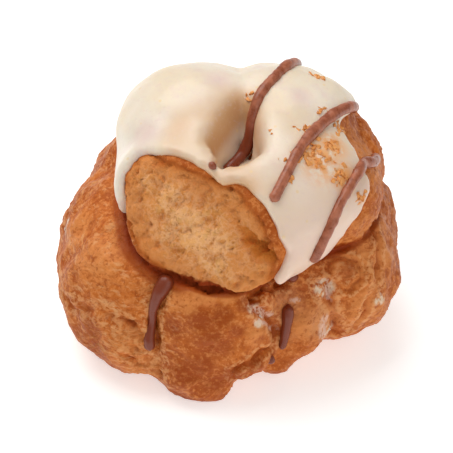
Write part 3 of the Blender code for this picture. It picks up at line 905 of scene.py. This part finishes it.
def relax_edge(mesh, surface):
    """Even out the patch's edge, and keep it on the dough."""
    for _ in range(EDGE_SMOOTHING):
        moved = {}
        for vertex in mesh.verts:
            ends = [edge.other_vert(vertex).co for edge in vertex.link_edges if edge.is_boundary]
            if len(ends) == 2:
                moved[vertex] = surface.find_nearest(vertex.co / 2 + (ends[0] + ends[1]) / 4)[0]
        for vertex, spot in moved.items():
            vertex.co = spot


def iced_patch(form):
    """The skin of the dough that the icing covers, as an open sheet."""
    mesh = bmesh.new()
    mesh.from_mesh(form.data)
    bmesh.ops.triangulate(mesh, faces=mesh.faces)
    mesh.normal_update()
    surface = BVHTree.FromBMesh(mesh)
    cover = mesh.verts.layers.float.new("cover")
    for vertex in mesh.verts:
        vertex[cover] = icing_cover(vertex.co)
        if vertex.co.z < CREASE_TOP:
            room = surface.ray_cast(vertex.co + vertex.normal * 0.1 * MM, vertex.normal, 2 * ICING_CLEARANCE)[3]
            vertex[cover] = min(vertex[cover], (room or 2 * ICING_CLEARANCE) - ICING_CLEARANCE)
    for _ in range(EDGE_SMOOTHING):
        around = [[edge.other_vert(vertex)[cover] for edge in vertex.link_edges] for vertex in mesh.verts]
        for vertex, values in zip(mesh.verts, around):
            vertex[cover] = (vertex[cover] + sum(values) / len(values)) / 2
    cut_along_edge(mesh, cover)
    keep_largest_patch(mesh)
    relax_edge(mesh, surface)
    bmesh.ops.remove_doubles(mesh, verts=mesh.verts, dist=SNAP / 3)
    mesh.normal_update()
    return mesh


def pour_icing(form, look):
    """The iced skin thickened outwards from just under the crust, thinner at its edge, with a rounded lip."""
    mesh = iced_patch(form)
    for vertex, normal in [(vertex, vertex.normal.copy()) for vertex in mesh.verts]:
        vertex.co -= normal * look.icing_sink
    icing = new_object("poured", bpy.data.meshes.new("poured"))
    mesh.to_mesh(icing.data)
    thickness = icing.vertex_groups.new(name="thickness")
    total = look.icing_sink + look.icing_thickness
    thin_edge = (look.icing_sink + look.icing_edge) / total
    for vertex in mesh.verts:
        in_pit = fall(4, 9, (vertex.co - PIT_MOUTH - PIT_WAY_IN * PIT_DEPTH).length)
        thickness.add([vertex.index], thin_edge if vertex.is_boundary else 1 - PIT_THINNING * in_pit, "REPLACE")
    mesh.free()
    shell = icing.modifiers.new("shell", "SOLIDIFY")
    shell.thickness = total
    shell.offset = 1
    shell.vertex_group = "thickness"
    return fused("icing_cap", [settled(icing)], ICING_FILLET, look.icing_voxel)


def icing_flow_recipe():
    """Slow waves and small dimples left in the icing as it set."""
    inputs = {"Wave height": 0.3 * MM, "Wave size": 8 * MM, "Dimple depth": 0.12 * MM, "Material": None}
    graph, given = geometry_recipe("Icing flow", inputs)
    place = graph.place()
    height = graph.times(graph.swell(place, given["Wave size"]), given["Wave height"])
    height = graph.times_plus(graph.swell(place, 2.2 * MM), given["Dimple depth"], height)
    return close_recipe(graph, graph.raised(given["Geometry"], height), given["Material"])


def icing_material(look):
    """Set icing: cream with a soft sheen, whiter on its waves as a painted highlight and lilac in their dips as painted
    shade, with lilac blushes, the stain of the crumbs, and painted shade in the pit and on its front right side.
    """
    material, graph, shader, place = new_material("set_icing")
    stain, blush, pit, thin = (graph.attribute(name) for name in ("stain", "blush", "pit", "thin"))
    patches = graph.noise(graph.warped(place, 12 * MM, 5 * MM), 13 * MM)
    cloud = graph.noise(place, 3.5 * MM, 3, 0.55)
    grain = graph.noise(place, 0.7 * MM, 3, 0.6)
    soaked = graph.times(stain, graph.ramp(graph.noise(place, 2.2 * MM, 4, 0.65), 0.34, 0.52))
    fleck = graph.cells(graph.vector("ADD", place, (0.01, 0.02, 0.03)), 3.4 * MM)["Distance"]
    colour = graph.toned(
        graph.mix(graph.ramp(patches, 0.36, 0.62), look.icing_cream, look.icing_pale), look,
        # Painted highlight on the crests of the small waves, and painted lilac shade in their dips.
        (cloud, 0.5, 0.75, 0.35, "icing_pale"), (cloud, 0.5, 0.3, 0.3, "icing_blush"),
    )
    for share, tone in (
        # Painted shade towards the front right and low down, partly thin icing.
        (graph.times(thin, 0.7), look.icing_thin), (graph.times(blush, 0.7), look.icing_blush),
        # Painted shade on the pit's walls, partly thin icing over the browned dough.
        (graph.times(pit, 0.9), look.icing_pit), (soaked, look.icing_stain),
    ):
        colour = graph.mix(share, colour, tone)
    colour = graph.toned(
        colour, look, (fleck, 0.12, 0.07, 0.45, "icing_speck"), (grain, 0.46, 0.3, 0.3, "icing_blush"),
    )
    bump = graph.times_plus(cloud, 0.5, graph.times(grain, 0.12))
    graph.feed(shader, {
        "Base Color": colour, "Roughness": graph.ramp(cloud, 0.3, 0.7, 0.3, 0.42),
        "Normal": graph.bump(0.45, 0.45 * MM, bump), "Specular IOR Level": 0.45, "Subsurface Weight": 0.15,
        "Subsurface Scale": 1.5 * MM, "Subsurface Radius": (1, 0.6, 0.35),
    })
    return material


def pit_shade(place):
    """How much of the pit's warm shade the place has: most on the walls, less on the floor and to the right."""
    away = place - PIT_MOUTH
    depth = away.dot(PIT_WAY_IN)
    lit = (1 - 0.8 * rise(4.5, 7.5, depth)) * (1 - 0.75 * rise(2, 6, away.x))
    return rise(-1.5, 2.5, depth) * lit * fall(10, 15, (away - PIT_WAY_IN * depth).length)


class BUN_OT_icing(bpy.types.Operator):
    """Pour the icing: a thin cap over the crown and into the pit, with a rounded lip"""

    bl_idname = "bun.pour_icing"
    bl_label = "Pour the Icing"

    def execute(self, context):
        look = context.scene.iced_bun
        form = dough_form()[0]
        icing = pour_icing(form, look)
        bpy.data.objects.remove(form)
        follow_recipe(icing, icing_flow_recipe(), {"Wave height": look.icing_wave, "Material": icing_material(look)})
        for name, spots in ICING_SPOTS.items():
            spot_mask(icing, name, spots)
        places = [vertex.co for vertex in icing.data.vertices]
        # Painted shade on the pit's walls, partly thin icing over the browned dough.
        add_mask(icing, "pit", [pit_shade(place) for place in places])
        # Painted shade towards the front right and low down, partly thin icing.
        add_mask(icing, "thin", [rise(*THIN_AND_SHADE_SPAN, place.dot(THIN_AND_SHADE_WAY)) for place in places])
        finish_piece(icing, "icing", "icing")
        return {"FINISHED"}


# --- chocolate ---


def smooth_way(points, step):
    """Points every step along a smooth curve through the given ones, with the last point kept."""
    points = way_in_metres(points)
    padded = [2 * points[0] - points[1], *points, 2 * points[-1] - points[-2]]
    way = []
    for before, start, end, after in zip(padded, padded[1:], padded[2:], padded[3:]):
        slope, bend = end - before, 2 * before - 5 * start + 4 * end - after
        twist = 3 * start - before - 3 * end + after
        count = max(round((end - start).length / step), 1)
        way += [0.5 * (2 * start + slope * t + bend * t**2 + twist * t**3) for t in (k / count for k in range(count))]
    return way + [points[-1]]


def laid_way(way, surface, heart, lift):
    """The way moved onto the outer skin, along lines from the body's heart, and half sunk in it. Deep in the pit it
    goes to the nearest skin."""
    laid = []
    for point in way:
        outwards = (point - heart).normalized()
        if (point - PIT_MOUTH).dot(PIT_WAY_IN) > DEEP_IN_PIT and (point - PIT_MOUTH).xy.length < BESIDE_PIT:
            spot, normal = surface.find_nearest(point)[:2]
        else:
            spot, normal = surface.ray_cast(point + outwards * WELL_OUTSIDE * MM, -outwards)[:2]
        laid.append(spot + normal * lift)
    for _ in range(STRAND_EASING):
        inner = [(before + 2 * here + after) / 4 for before, here, after in zip(laid, laid[1:], laid[2:])]
        laid = [laid[0], *inner, laid[-1]]
    return laid


def strand_recipe():
    """A strand of chocolate along each curve: lumpy, and round at its ends."""
    inputs = {"Radius": 1.05 * MM, "Lumpiness": 0.3, "Step": 0.3 * MM, "Sides": 18, "Material": None}
    graph, given = geometry_recipe("Chocolate strand", inputs)
    line = {"Curve": given["Geometry"], "Length": given["Step"]}
    spaced = graph.node("GeometryNodeResampleCurve", line, mode="LENGTH").outputs[0]
    place = graph.place()
    along = graph.node("GeometryNodeSplineParameter").outputs["Length"]
    whole = graph.node("GeometryNodeSplineLength").outputs["Length"]
    from_end = graph.maths("MINIMUM", along, graph.less(whole, along))
    share = graph.maths("MINIMUM", graph.maths("DIVIDE", from_end, given["Radius"]), 1)
    rounding = graph.less(1, graph.maths("POWER", graph.less(1, share), 2))
    round_end = graph.maths("SQRT", graph.maths("MAXIMUM", rounding, 0.02))
    girth = graph.times_plus(graph.swell(place, 3.5 * MM), given["Lumpiness"], 1)
    radius = graph.times(graph.times(girth, round_end), graph.node("GeometryNodeInputRadius").outputs[0])
    sized = graph.node("GeometryNodeSetCurveRadius", {"Curve": spaced, "Radius": radius}).outputs[0]
    ring = graph.node("GeometryNodeCurvePrimitiveCircle", {"Resolution": given["Sides"], "Radius": given["Radius"]})
    sweep = graph.node(
        "GeometryNodeCurveToMesh", {"Curve": sized, "Profile Curve": ring.outputs[0], "Fill Caps": True},
    )
    if "Scale" in sweep.inputs:
        graph.feed(sweep, {"Scale": radius})
    ripple = graph.times(graph.swell(place, 1.1 * MM), STRAND_RIPPLE)
    return close_recipe(graph, graph.raised(sweep.outputs[0], ripple), given["Material"])


def chocolate_material(look):
    """Set milk chocolate: satin, darker low down, with painted shade where it lies in the pit, and with dull and glossy
    patches.
    """
    material, graph, shader, place = new_material("set_chocolate")
    cloud = graph.noise(place, 1.6 * MM, 3, 0.6)
    height = graph.node("ShaderNodeSeparateXYZ", {0: place}).outputs[2]
    colour = graph.mix(graph.ramp(cloud, 0.34, 0.66), look.chocolate_mid, look.chocolate_light)
    colour = graph.toned(colour, look, (height, 31 * MM, 24 * MM, 1, "chocolate_dark"))
    # Painted shade on the strands where they lie in the pit.
    colour = graph.mix(graph.times(graph.attribute("pit"), 0.9), colour, look.chocolate_dark)
    bump = graph.times_plus(cloud, 0.6, graph.times(graph.noise(place, 0.4 * MM), 0.1))
    graph.feed(shader, {
        "Base Color": colour, "Roughness": graph.ramp(cloud, 0.3, 0.7, 0.26, 0.42),
        "Normal": graph.bump(0.3, 0.3 * MM, bump), "Specular IOR Level": 0.45,
    })
    return material


def look_material(name, make, look):
    return bpy.data.materials.get(name) or make(look)


def drizzle(name, strands, surface, heart, look):
    """One piece with a strand of chocolate along each way."""
    curve = bpy.data.curves.new(name, "CURVE")
    curve.dimensions = "3D"
    for key, points in strands.items():
        way = laid_way(smooth_way(points, STRAND_STEP), surface, heart, look.strand_rise)
        line = curve.splines.new("POLY")
        line.points.add(len(way) - 1)
        girths = STRAND_GIRTHS.get(key, (1, 1))
        for index, (point, spot) in enumerate(zip(line.points, way)):
            point.co = (*spot, 1)
            run, share = divmod(index / (len(way) - 1) * (len(girths) - 1), 1)
            point.radius = girths[int(run)] * (1 - share) + girths[min(int(run) + 1, len(girths) - 1)] * share
    obj = new_object(name, curve)
    give_recipe(obj, bpy.data.node_groups.get("Chocolate strand") or strand_recipe(), {
        "Radius": look.strand_radius, "Lumpiness": look.strand_lumpiness,
        "Material": look_material("set_chocolate", chocolate_material, look),
    })
    mesh = bpy.data.meshes.new_from_object(obj.evaluated_get(bpy.context.evaluated_depsgraph_get()))
    bpy.data.objects.remove(obj)
    return new_object(name, mesh)


class BUN_OT_chocolate(bpy.types.Operator):
    """Drizzle the chocolate: strands over the icing, and the drips that ran on over the base"""

    bl_idname = "bun.drizzle_chocolate"
    bl_label = "Drizzle the Chocolate"

    def execute(self, context):
        look = context.scene.iced_bun
        bun, icing = (bpy.data.objects[name] for name in ("choux_bun", "icing_cap"))
        over_icing = drizzle("chocolate_strands", ICING_STRANDS, surface_of(icing, bun), CROWN_HEART, look)
        places = [vertex.co for vertex in over_icing.data.vertices]
        # Painted shade on the strands where they lie in the pit.
        in_pit = [fall(7, 9, (place - PIT_MOUTH).xy.length) * fall(43, 47.5, place.z) for place in places]
        add_mask(over_icing, "pit", in_pit)
        finish_piece(over_icing, "icing", "icing")
        over_base = drizzle("chocolate_drips", BASE_STRANDS, surface_of(bun), BASE_HEART, look)
        finish_piece(over_base, "crust", "choux")
        return {"FINISHED"}


# --- crumbs ---


def scatter_recipe():
    """Small broken pieces scattered over a surface where its mask is high, turned and sized at random."""
    inputs = {
        "Density": 1e6, "Mask": "", "Smallest": 0.2 * MM, "Largest": 0.6 * MM, "Flatness": 0.6, "Seed": 7,
        "Material": None,
    }
    graph, given = geometry_recipe("Strewn bits", inputs)
    density = graph.times(graph.attribute(given["Mask"]), given["Density"])
    skin = {"Mesh": given["Geometry"], "Density": density, "Seed": given["Seed"]}
    strewn = graph.node("GeometryNodeDistributePointsOnFaces", skin).outputs
    chip = graph.node("GeometryNodeMeshIcoSphere", {"Radius": 1, "Subdivisions": 2}).outputs[0]
    flat = graph.node("ShaderNodeCombineXYZ", {0: 1, 1: 0.75, 2: given["Flatness"]}).outputs[0]
    flattened = graph.node("GeometryNodeTransform", {"Geometry": chip, "Scale": flat}).outputs[0]
    sizes = {2: given["Smallest"], 3: given["Largest"], "Seed": given["Seed"]}
    size = graph.node("FunctionNodeRandomValue", sizes, data_type="FLOAT").outputs[1]
    turns = {0: (-0.5, -0.5, 0), 1: (0.5, 0.5, 6.28), "Seed": given["Seed"]}
    turn = graph.node("FunctionNodeRandomValue", turns, data_type="FLOAT_VECTOR").outputs[0]
    turns = {0: strewn["Rotation"], 1: turn}
    turned = graph.node("FunctionNodeRotateRotation", turns, rotation_space="LOCAL").outputs[0]
    bits = {"Points": strewn["Points"], "Instance": flattened, "Rotation": turned, "Scale": size}
    placed = graph.node("GeometryNodeInstanceOnPoints", bits).outputs[0]
    real = graph.node("GeometryNodeRealizeInstances", {"Geometry": placed}).outputs[0]
    crooked = graph.warped(graph.place(), 0.8 * MM, 1.4 * MM)
    broken = graph.node("GeometryNodeSetPosition", {"Geometry": real, "Position": crooked}).outputs[0]
    return close_recipe(graph, broken, given["Material"])


def crumb_material(look):
    """Loose crumbs of browned crust, from gold to burnt orange."""
    material, graph, shader, place = new_material("crust_crumbs")
    cloud = graph.noise(place, 1.2 * MM)
    graph.feed(shader, {
        "Base Color": graph.mix(graph.ramp(cloud, 0.38, 0.62), look.crumb_orange, look.crumb_gold),
        "Roughness": graph.ramp(cloud, 0.3, 0.7, 0.7, 0.5),
        "Normal": graph.bump(0.5, 0.2 * MM, graph.noise(place, 0.25 * MM)),
    })
    return material


def strew(name, source, mask, spots, values):
    """A piece of loose bits scattered over another piece, where the spots are."""
    under = bpy.data.objects[source]
    spot_mask(under, mask, spots)
    bits = new_object(name, under.data.copy())
    tree = bpy.data.node_groups.get("Strewn bits") or scatter_recipe()
    return follow_recipe(bits, tree, values | {"Mask": mask, "Flatness": 0.2})


class BUN_OT_crumbs(bpy.types.Operator):
    """Strew the crumbs over the icing, and leave flecks of icing on the crust"""

    bl_idname = "bun.strew_crumbs"
    bl_label = "Strew the Crumbs"

    def execute(self, context):
        look = context.scene.iced_bun
        crumbs = strew("crust_crumbs", "icing_cap", "crumbs", CRUMB_SPOTS, {
            "Density": look.crumb_density, "Largest": look.crumb_size, "Material": crumb_material(look),
        })
        finish_piece(crumbs, "crust")
        flecks = strew("icing_flecks", "choux_bun", "flecks", CRUST_SPOTS["smear"], {
            "Density": look.fleck_density, "Largest": look.fleck_size, "Seed": 3,
            "Material": look_material("set_icing", icing_material, look),
        })
        finish_piece(flecks, "icing")
        return {"FINISHED"}


# --- stage ---

ROOM_COLOUR = (1, 0.99, 0.98, 1)
BUN_MIDDLE = Vector((0, 0, 0.02))
LAMP_SIZE = 0.5
SENSOR_WIDTH = 36


def floor_material():
    """Plain white table, with the faintest mottle."""
    material, graph, shader, place = new_material("white_table")
    colour = graph.mix(graph.noise(place, 40 * MM), (0.74, 0.79, 0.81, 1), (0.76, 0.81, 0.83, 1))
    graph.feed(shader, {
        "Base Color": colour, "Roughness": 0.6, "Specular IOR Level": 0.2, "Emission Color": ROOM_COLOUR,
        "Emission Strength": 0.55,
    })
    return material


def lamp(name, place, power, colour):
    """A soft square lamp aimed at the middle of the bun."""
    light = bpy.data.lights.new(name, "AREA")
    light.size, light.energy, light.color = LAMP_SIZE, power, colour
    obj = new_object(name, light)
    obj.location = place
    obj.rotation_euler = (BUN_MIDDLE - obj.location).to_track_quat("-Z", "Y").to_euler()


class BUN_OT_stage(bpy.types.Operator):
    """Set the stage: a white table, soft studio lamps, and the camera at the picture's angle"""

    bl_idname = "bun.set_stage"
    bl_label = "Set the Stage"

    def execute(self, context):
        look = context.scene.iced_bun
        table = bmesh.new()
        bmesh.ops.create_grid(table, x_segments=8, y_segments=8, size=look.table_size / 2)
        top = object_of("table", table)
        top.data.materials.append(floor_material())

        lamp("key", (-0.16, 0.14, 0.5), look.key_power, (1, 0.97, 0.93))
        lamp("front_fill", (0.3, -0.42, 0.3), look.fill_power, (1, 0.96, 0.92))
        world = bpy.data.worlds.new("studio")
        world.use_nodes = True
        background = world.node_tree.nodes["Background"]
        background.inputs["Color"].default_value = ROOM_COLOUR
        background.inputs["Strength"].default_value = look.sky_strength
        context.scene.world = world
        context.scene.view_settings.view_transform = "Standard"

        camera = bpy.data.cameras.new("camera")
        camera.sensor_width = SENSOR_WIDTH
        camera.lens = SENSOR_WIDTH * look.camera_distance / look.camera_span
        camera.clip_start, camera.clip_end = 0.01, 10
        obj = new_object("camera", camera)
        azimuth, elevation = look.camera_azimuth, look.camera_elevation
        away = Vector((
            math.sin(azimuth) * math.cos(elevation), -math.cos(azimuth) * math.cos(elevation), math.sin(elevation)
        ))
        obj.location = Vector((0, 0, look.camera_height)) + away * look.camera_distance
        obj.rotation_euler = (-away).to_track_quat("-Z", "Y").to_euler()
        context.scene.camera = obj
        return {"FINISHED"}


# --- settings and panel ---


def number(name, description, default, **limits):
    return bpy.props.FloatProperty(name=name, description=description, default=default, **limits)


def length(name, description, millimetres):
    limits = {"min": 0, "soft_max": 10 * MM, "precision": 5, "subtype": "DISTANCE", "unit": "LENGTH"}
    return number(name, description, millimetres * MM, **limits)


def shade(name, description, *colour):
    return bpy.props.FloatVectorProperty(
        name=name, description=description, default=(*colour, 1), size=4, min=0, max=1, subtype="COLOR",
    )


class BunSettings(bpy.types.PropertyGroup):
    """Sizes and colours of the iced bun"""

    crust_voxel: length("Crust detail", "Size of the crust mesh's faces", 0.42)
    lump_height: length("Lump height", "How far the crust's soft lumps stand up", 0.8)
    wrinkle_height: length("Wrinkle height", "How far the crust's wrinkles stand up", 0.3)
    pore_depth: length("Pore depth", "How deep the cells of the torn crumb are", 0.35)
    # Painted shade in the folds and cracks, and also the darker underside.
    crust_deep: shade("Crust in folds", "Colour of the crust in its folds and under the bun", 0.29, 0.034, 0.002)
    # Also painted shade in the crust's hollows, cracks and seam.
    crust_dark: shade("Dark crust", "Colour of the darkest open crust", 0.35, 0.062, 0.004)
    crust_toast: shade("Toasted crust", "Colour of the spots that browned most", 0.33, 0.056, 0.003)
    crust_mid: shade("Crust", "Main colour of the crust", 0.56, 0.143, 0.019)
    # Also the painted highlight on raised crags, wrinkles and ridge lines, and partly painted light on the pale spots.
    crust_light: shade("Light crust", "Colour of the crust's raised parts", 0.72, 0.262, 0.07)
    # Also the painted highlight on the edges beside the cracks.
    crust_edge: shade("Worn crust", "Colour of edges and torn fibres", 0.78, 0.4, 0.17)
    crumb_pale: shade("Pale crumb", "Lightest colour of the torn crumb", 0.9, 0.45, 0.16)
    crumb_gold: shade("Golden crumb", "Main colour of the torn crumb", 0.76, 0.28, 0.06)
    crumb_shade: shade("Greenish crumb", "Cool tint in the torn crumb", 0.6, 0.34, 0.1)
    # Also painted shade in the pores.
    crumb_deep: shade("Crumb in pores", "Colour deep in the pores", 0.52, 0.175, 0.036)
    crumb_web: shade("Crumb walls", "Colour of the thin walls that stand up in the crumb", 0.92, 0.5, 0.25)
    crumb_hollow: shade("Crumb in hollows", "Colour inside the hollows of the torn face", 0.74, 0.25, 0.035)

    icing_voxel: length("Icing detail", "Size of the icing mesh's faces", 0.32)
    icing_thickness: length("Icing thickness", "How far the icing stands off the dough", 1.4)
    icing_edge: length("Icing edge", "How far the icing's edge stands off the dough", 0.9)
    icing_sink: length("Icing sink", "How far the icing's inner side lies under the crust", 0.6)
    icing_wave: length("Icing waves", "Height of the slow waves in the icing", 0.3)
    icing_pale: shade("Pale icing", "Lightest colour of the icing", 0.85, 0.755, 0.63)
    icing_cream: shade("Cream icing", "Main colour of the icing", 0.82, 0.695, 0.52)
    # Also painted shade in the dips of the icing's small waves.
    icing_blush: shade("Icing blush", "Lilac tint in the icing", 0.76, 0.58, 0.54)
    icing_film: shade("Icing film", "Colour of crust under the thinnest film of icing", 0.72, 0.34, 0.15)
    # Also the painted shade on the icing's front right side.
    icing_thin: shade("Thin icing", "Colour where the crust shows through the icing", 0.8, 0.54, 0.42)
    # Painted shade in the pit, partly thin icing over the browned dough.
    icing_pit: shade("Icing in the pit", "Warm colour of the icing in the pit", 0.66, 0.36, 0.15)
    icing_speck: shade("Icing specks", "Colour of the small specks in the icing", 0.84, 0.6, 0.24)
    icing_stain: shade("Icing stain", "Colour that the crumbs gave the icing", 0.84, 0.36, 0.09)

    strand_radius: length("Strand radius", "Radius of a chocolate strand", 1)
    strand_rise: length("Strand rise", "How far a strand's middle lies above the surface", 0.2)
    strand_lumpiness: number("Strand lumpiness", "How unevenly thick the strands are", 0.35, min=0, max=1)
    # Also painted shade on the strands in the pit.
    chocolate_dark: shade("Dark chocolate", "Colour of the drips on the base", 0.2, 0.034, 0.01)
    chocolate_mid: shade("Chocolate", "Main colour of the strands", 0.28, 0.072, 0.03)
    chocolate_light: shade("Light chocolate", "Lightest colour of the strands", 0.44, 0.14, 0.07)

    crumb_size: length("Crumb size", "Radius of the largest loose crumb", 0.7)
    crumb_orange: shade("Crumbs", "Main colour of the loose crumbs", 0.88, 0.4, 0.12)
    crumb_density: number("Crumb density", "Loose crumbs in each square metre", 3.2e6, min=0)
    fleck_size: length("Fleck size", "Radius of the largest icing fleck", 0.35)
    fleck_density: number("Fleck density", "Icing flecks in each square metre", 2.5e5, min=0)

    table_size: number("Table size", "Width of the table", 2, min=0.1, subtype="DISTANCE", unit="LENGTH")
    key_power: number("Key lamp", "Power of the key lamp", 2.5, min=0, subtype="POWER", unit="POWER")
    fill_power: number("Fill lamp", "Power of the front lamp", 0.8, min=0, subtype="POWER", unit="POWER")
    sky_strength: number("Room light", "Strength of the light from all round", 0.32, min=0)
    camera_azimuth: number("Camera azimuth", "Angle of the camera round from the front", 0, unit="ROTATION")
    camera_elevation: number(
        "Camera elevation", "Angle of the camera above the table", math.radians(36), unit="ROTATION",
    )
    camera_distance: number("Camera distance", "From the camera to the bun", 0.6, min=0.1, unit="LENGTH")
    camera_span: number("Camera span", "Width seen at the bun", 0.08189, min=0.01, unit="LENGTH", precision=5)
    camera_height: number("Camera aim height", "Height that the camera looks at", 0.0199, unit="LENGTH", precision=5)


STEPS = (BUN_OT_dough, BUN_OT_icing, BUN_OT_chocolate, BUN_OT_crumbs, BUN_OT_stage)


class BUN_PT_sidebar(bpy.types.Panel):
    """Steps and settings of the iced bun"""

    bl_label = "Iced Bun"
    bl_idname = "BUN_PT_sidebar"
    bl_space_type = "VIEW_3D"
    bl_region_type = "UI"
    bl_category = "Bun"

    def draw(self, context):
        for step in STEPS:
            self.layout.operator(step.bl_idname)
        for name in BunSettings.__annotations__:
            self.layout.prop(context.scene.iced_bun, name)


CLASSES = (BunSettings, *STEPS, BUN_PT_sidebar)


def register():
    for kind in CLASSES:
        bpy.utils.register_class(kind)
    bpy.types.Scene.iced_bun = bpy.props.PointerProperty(type=BunSettings)


def unregister():
    del bpy.types.Scene.iced_bun
    for kind in reversed(CLASSES):
        bpy.utils.unregister_class(kind)


def main():
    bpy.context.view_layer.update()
    register()
    bpy.ops.bun.bake_dough()
    bpy.ops.bun.pour_icing()
    bpy.ops.bun.drizzle_chocolate()
    bpy.ops.bun.strew_crumbs()
    bpy.ops.bun.set_stage()


if __name__ == "__main__":
    main()
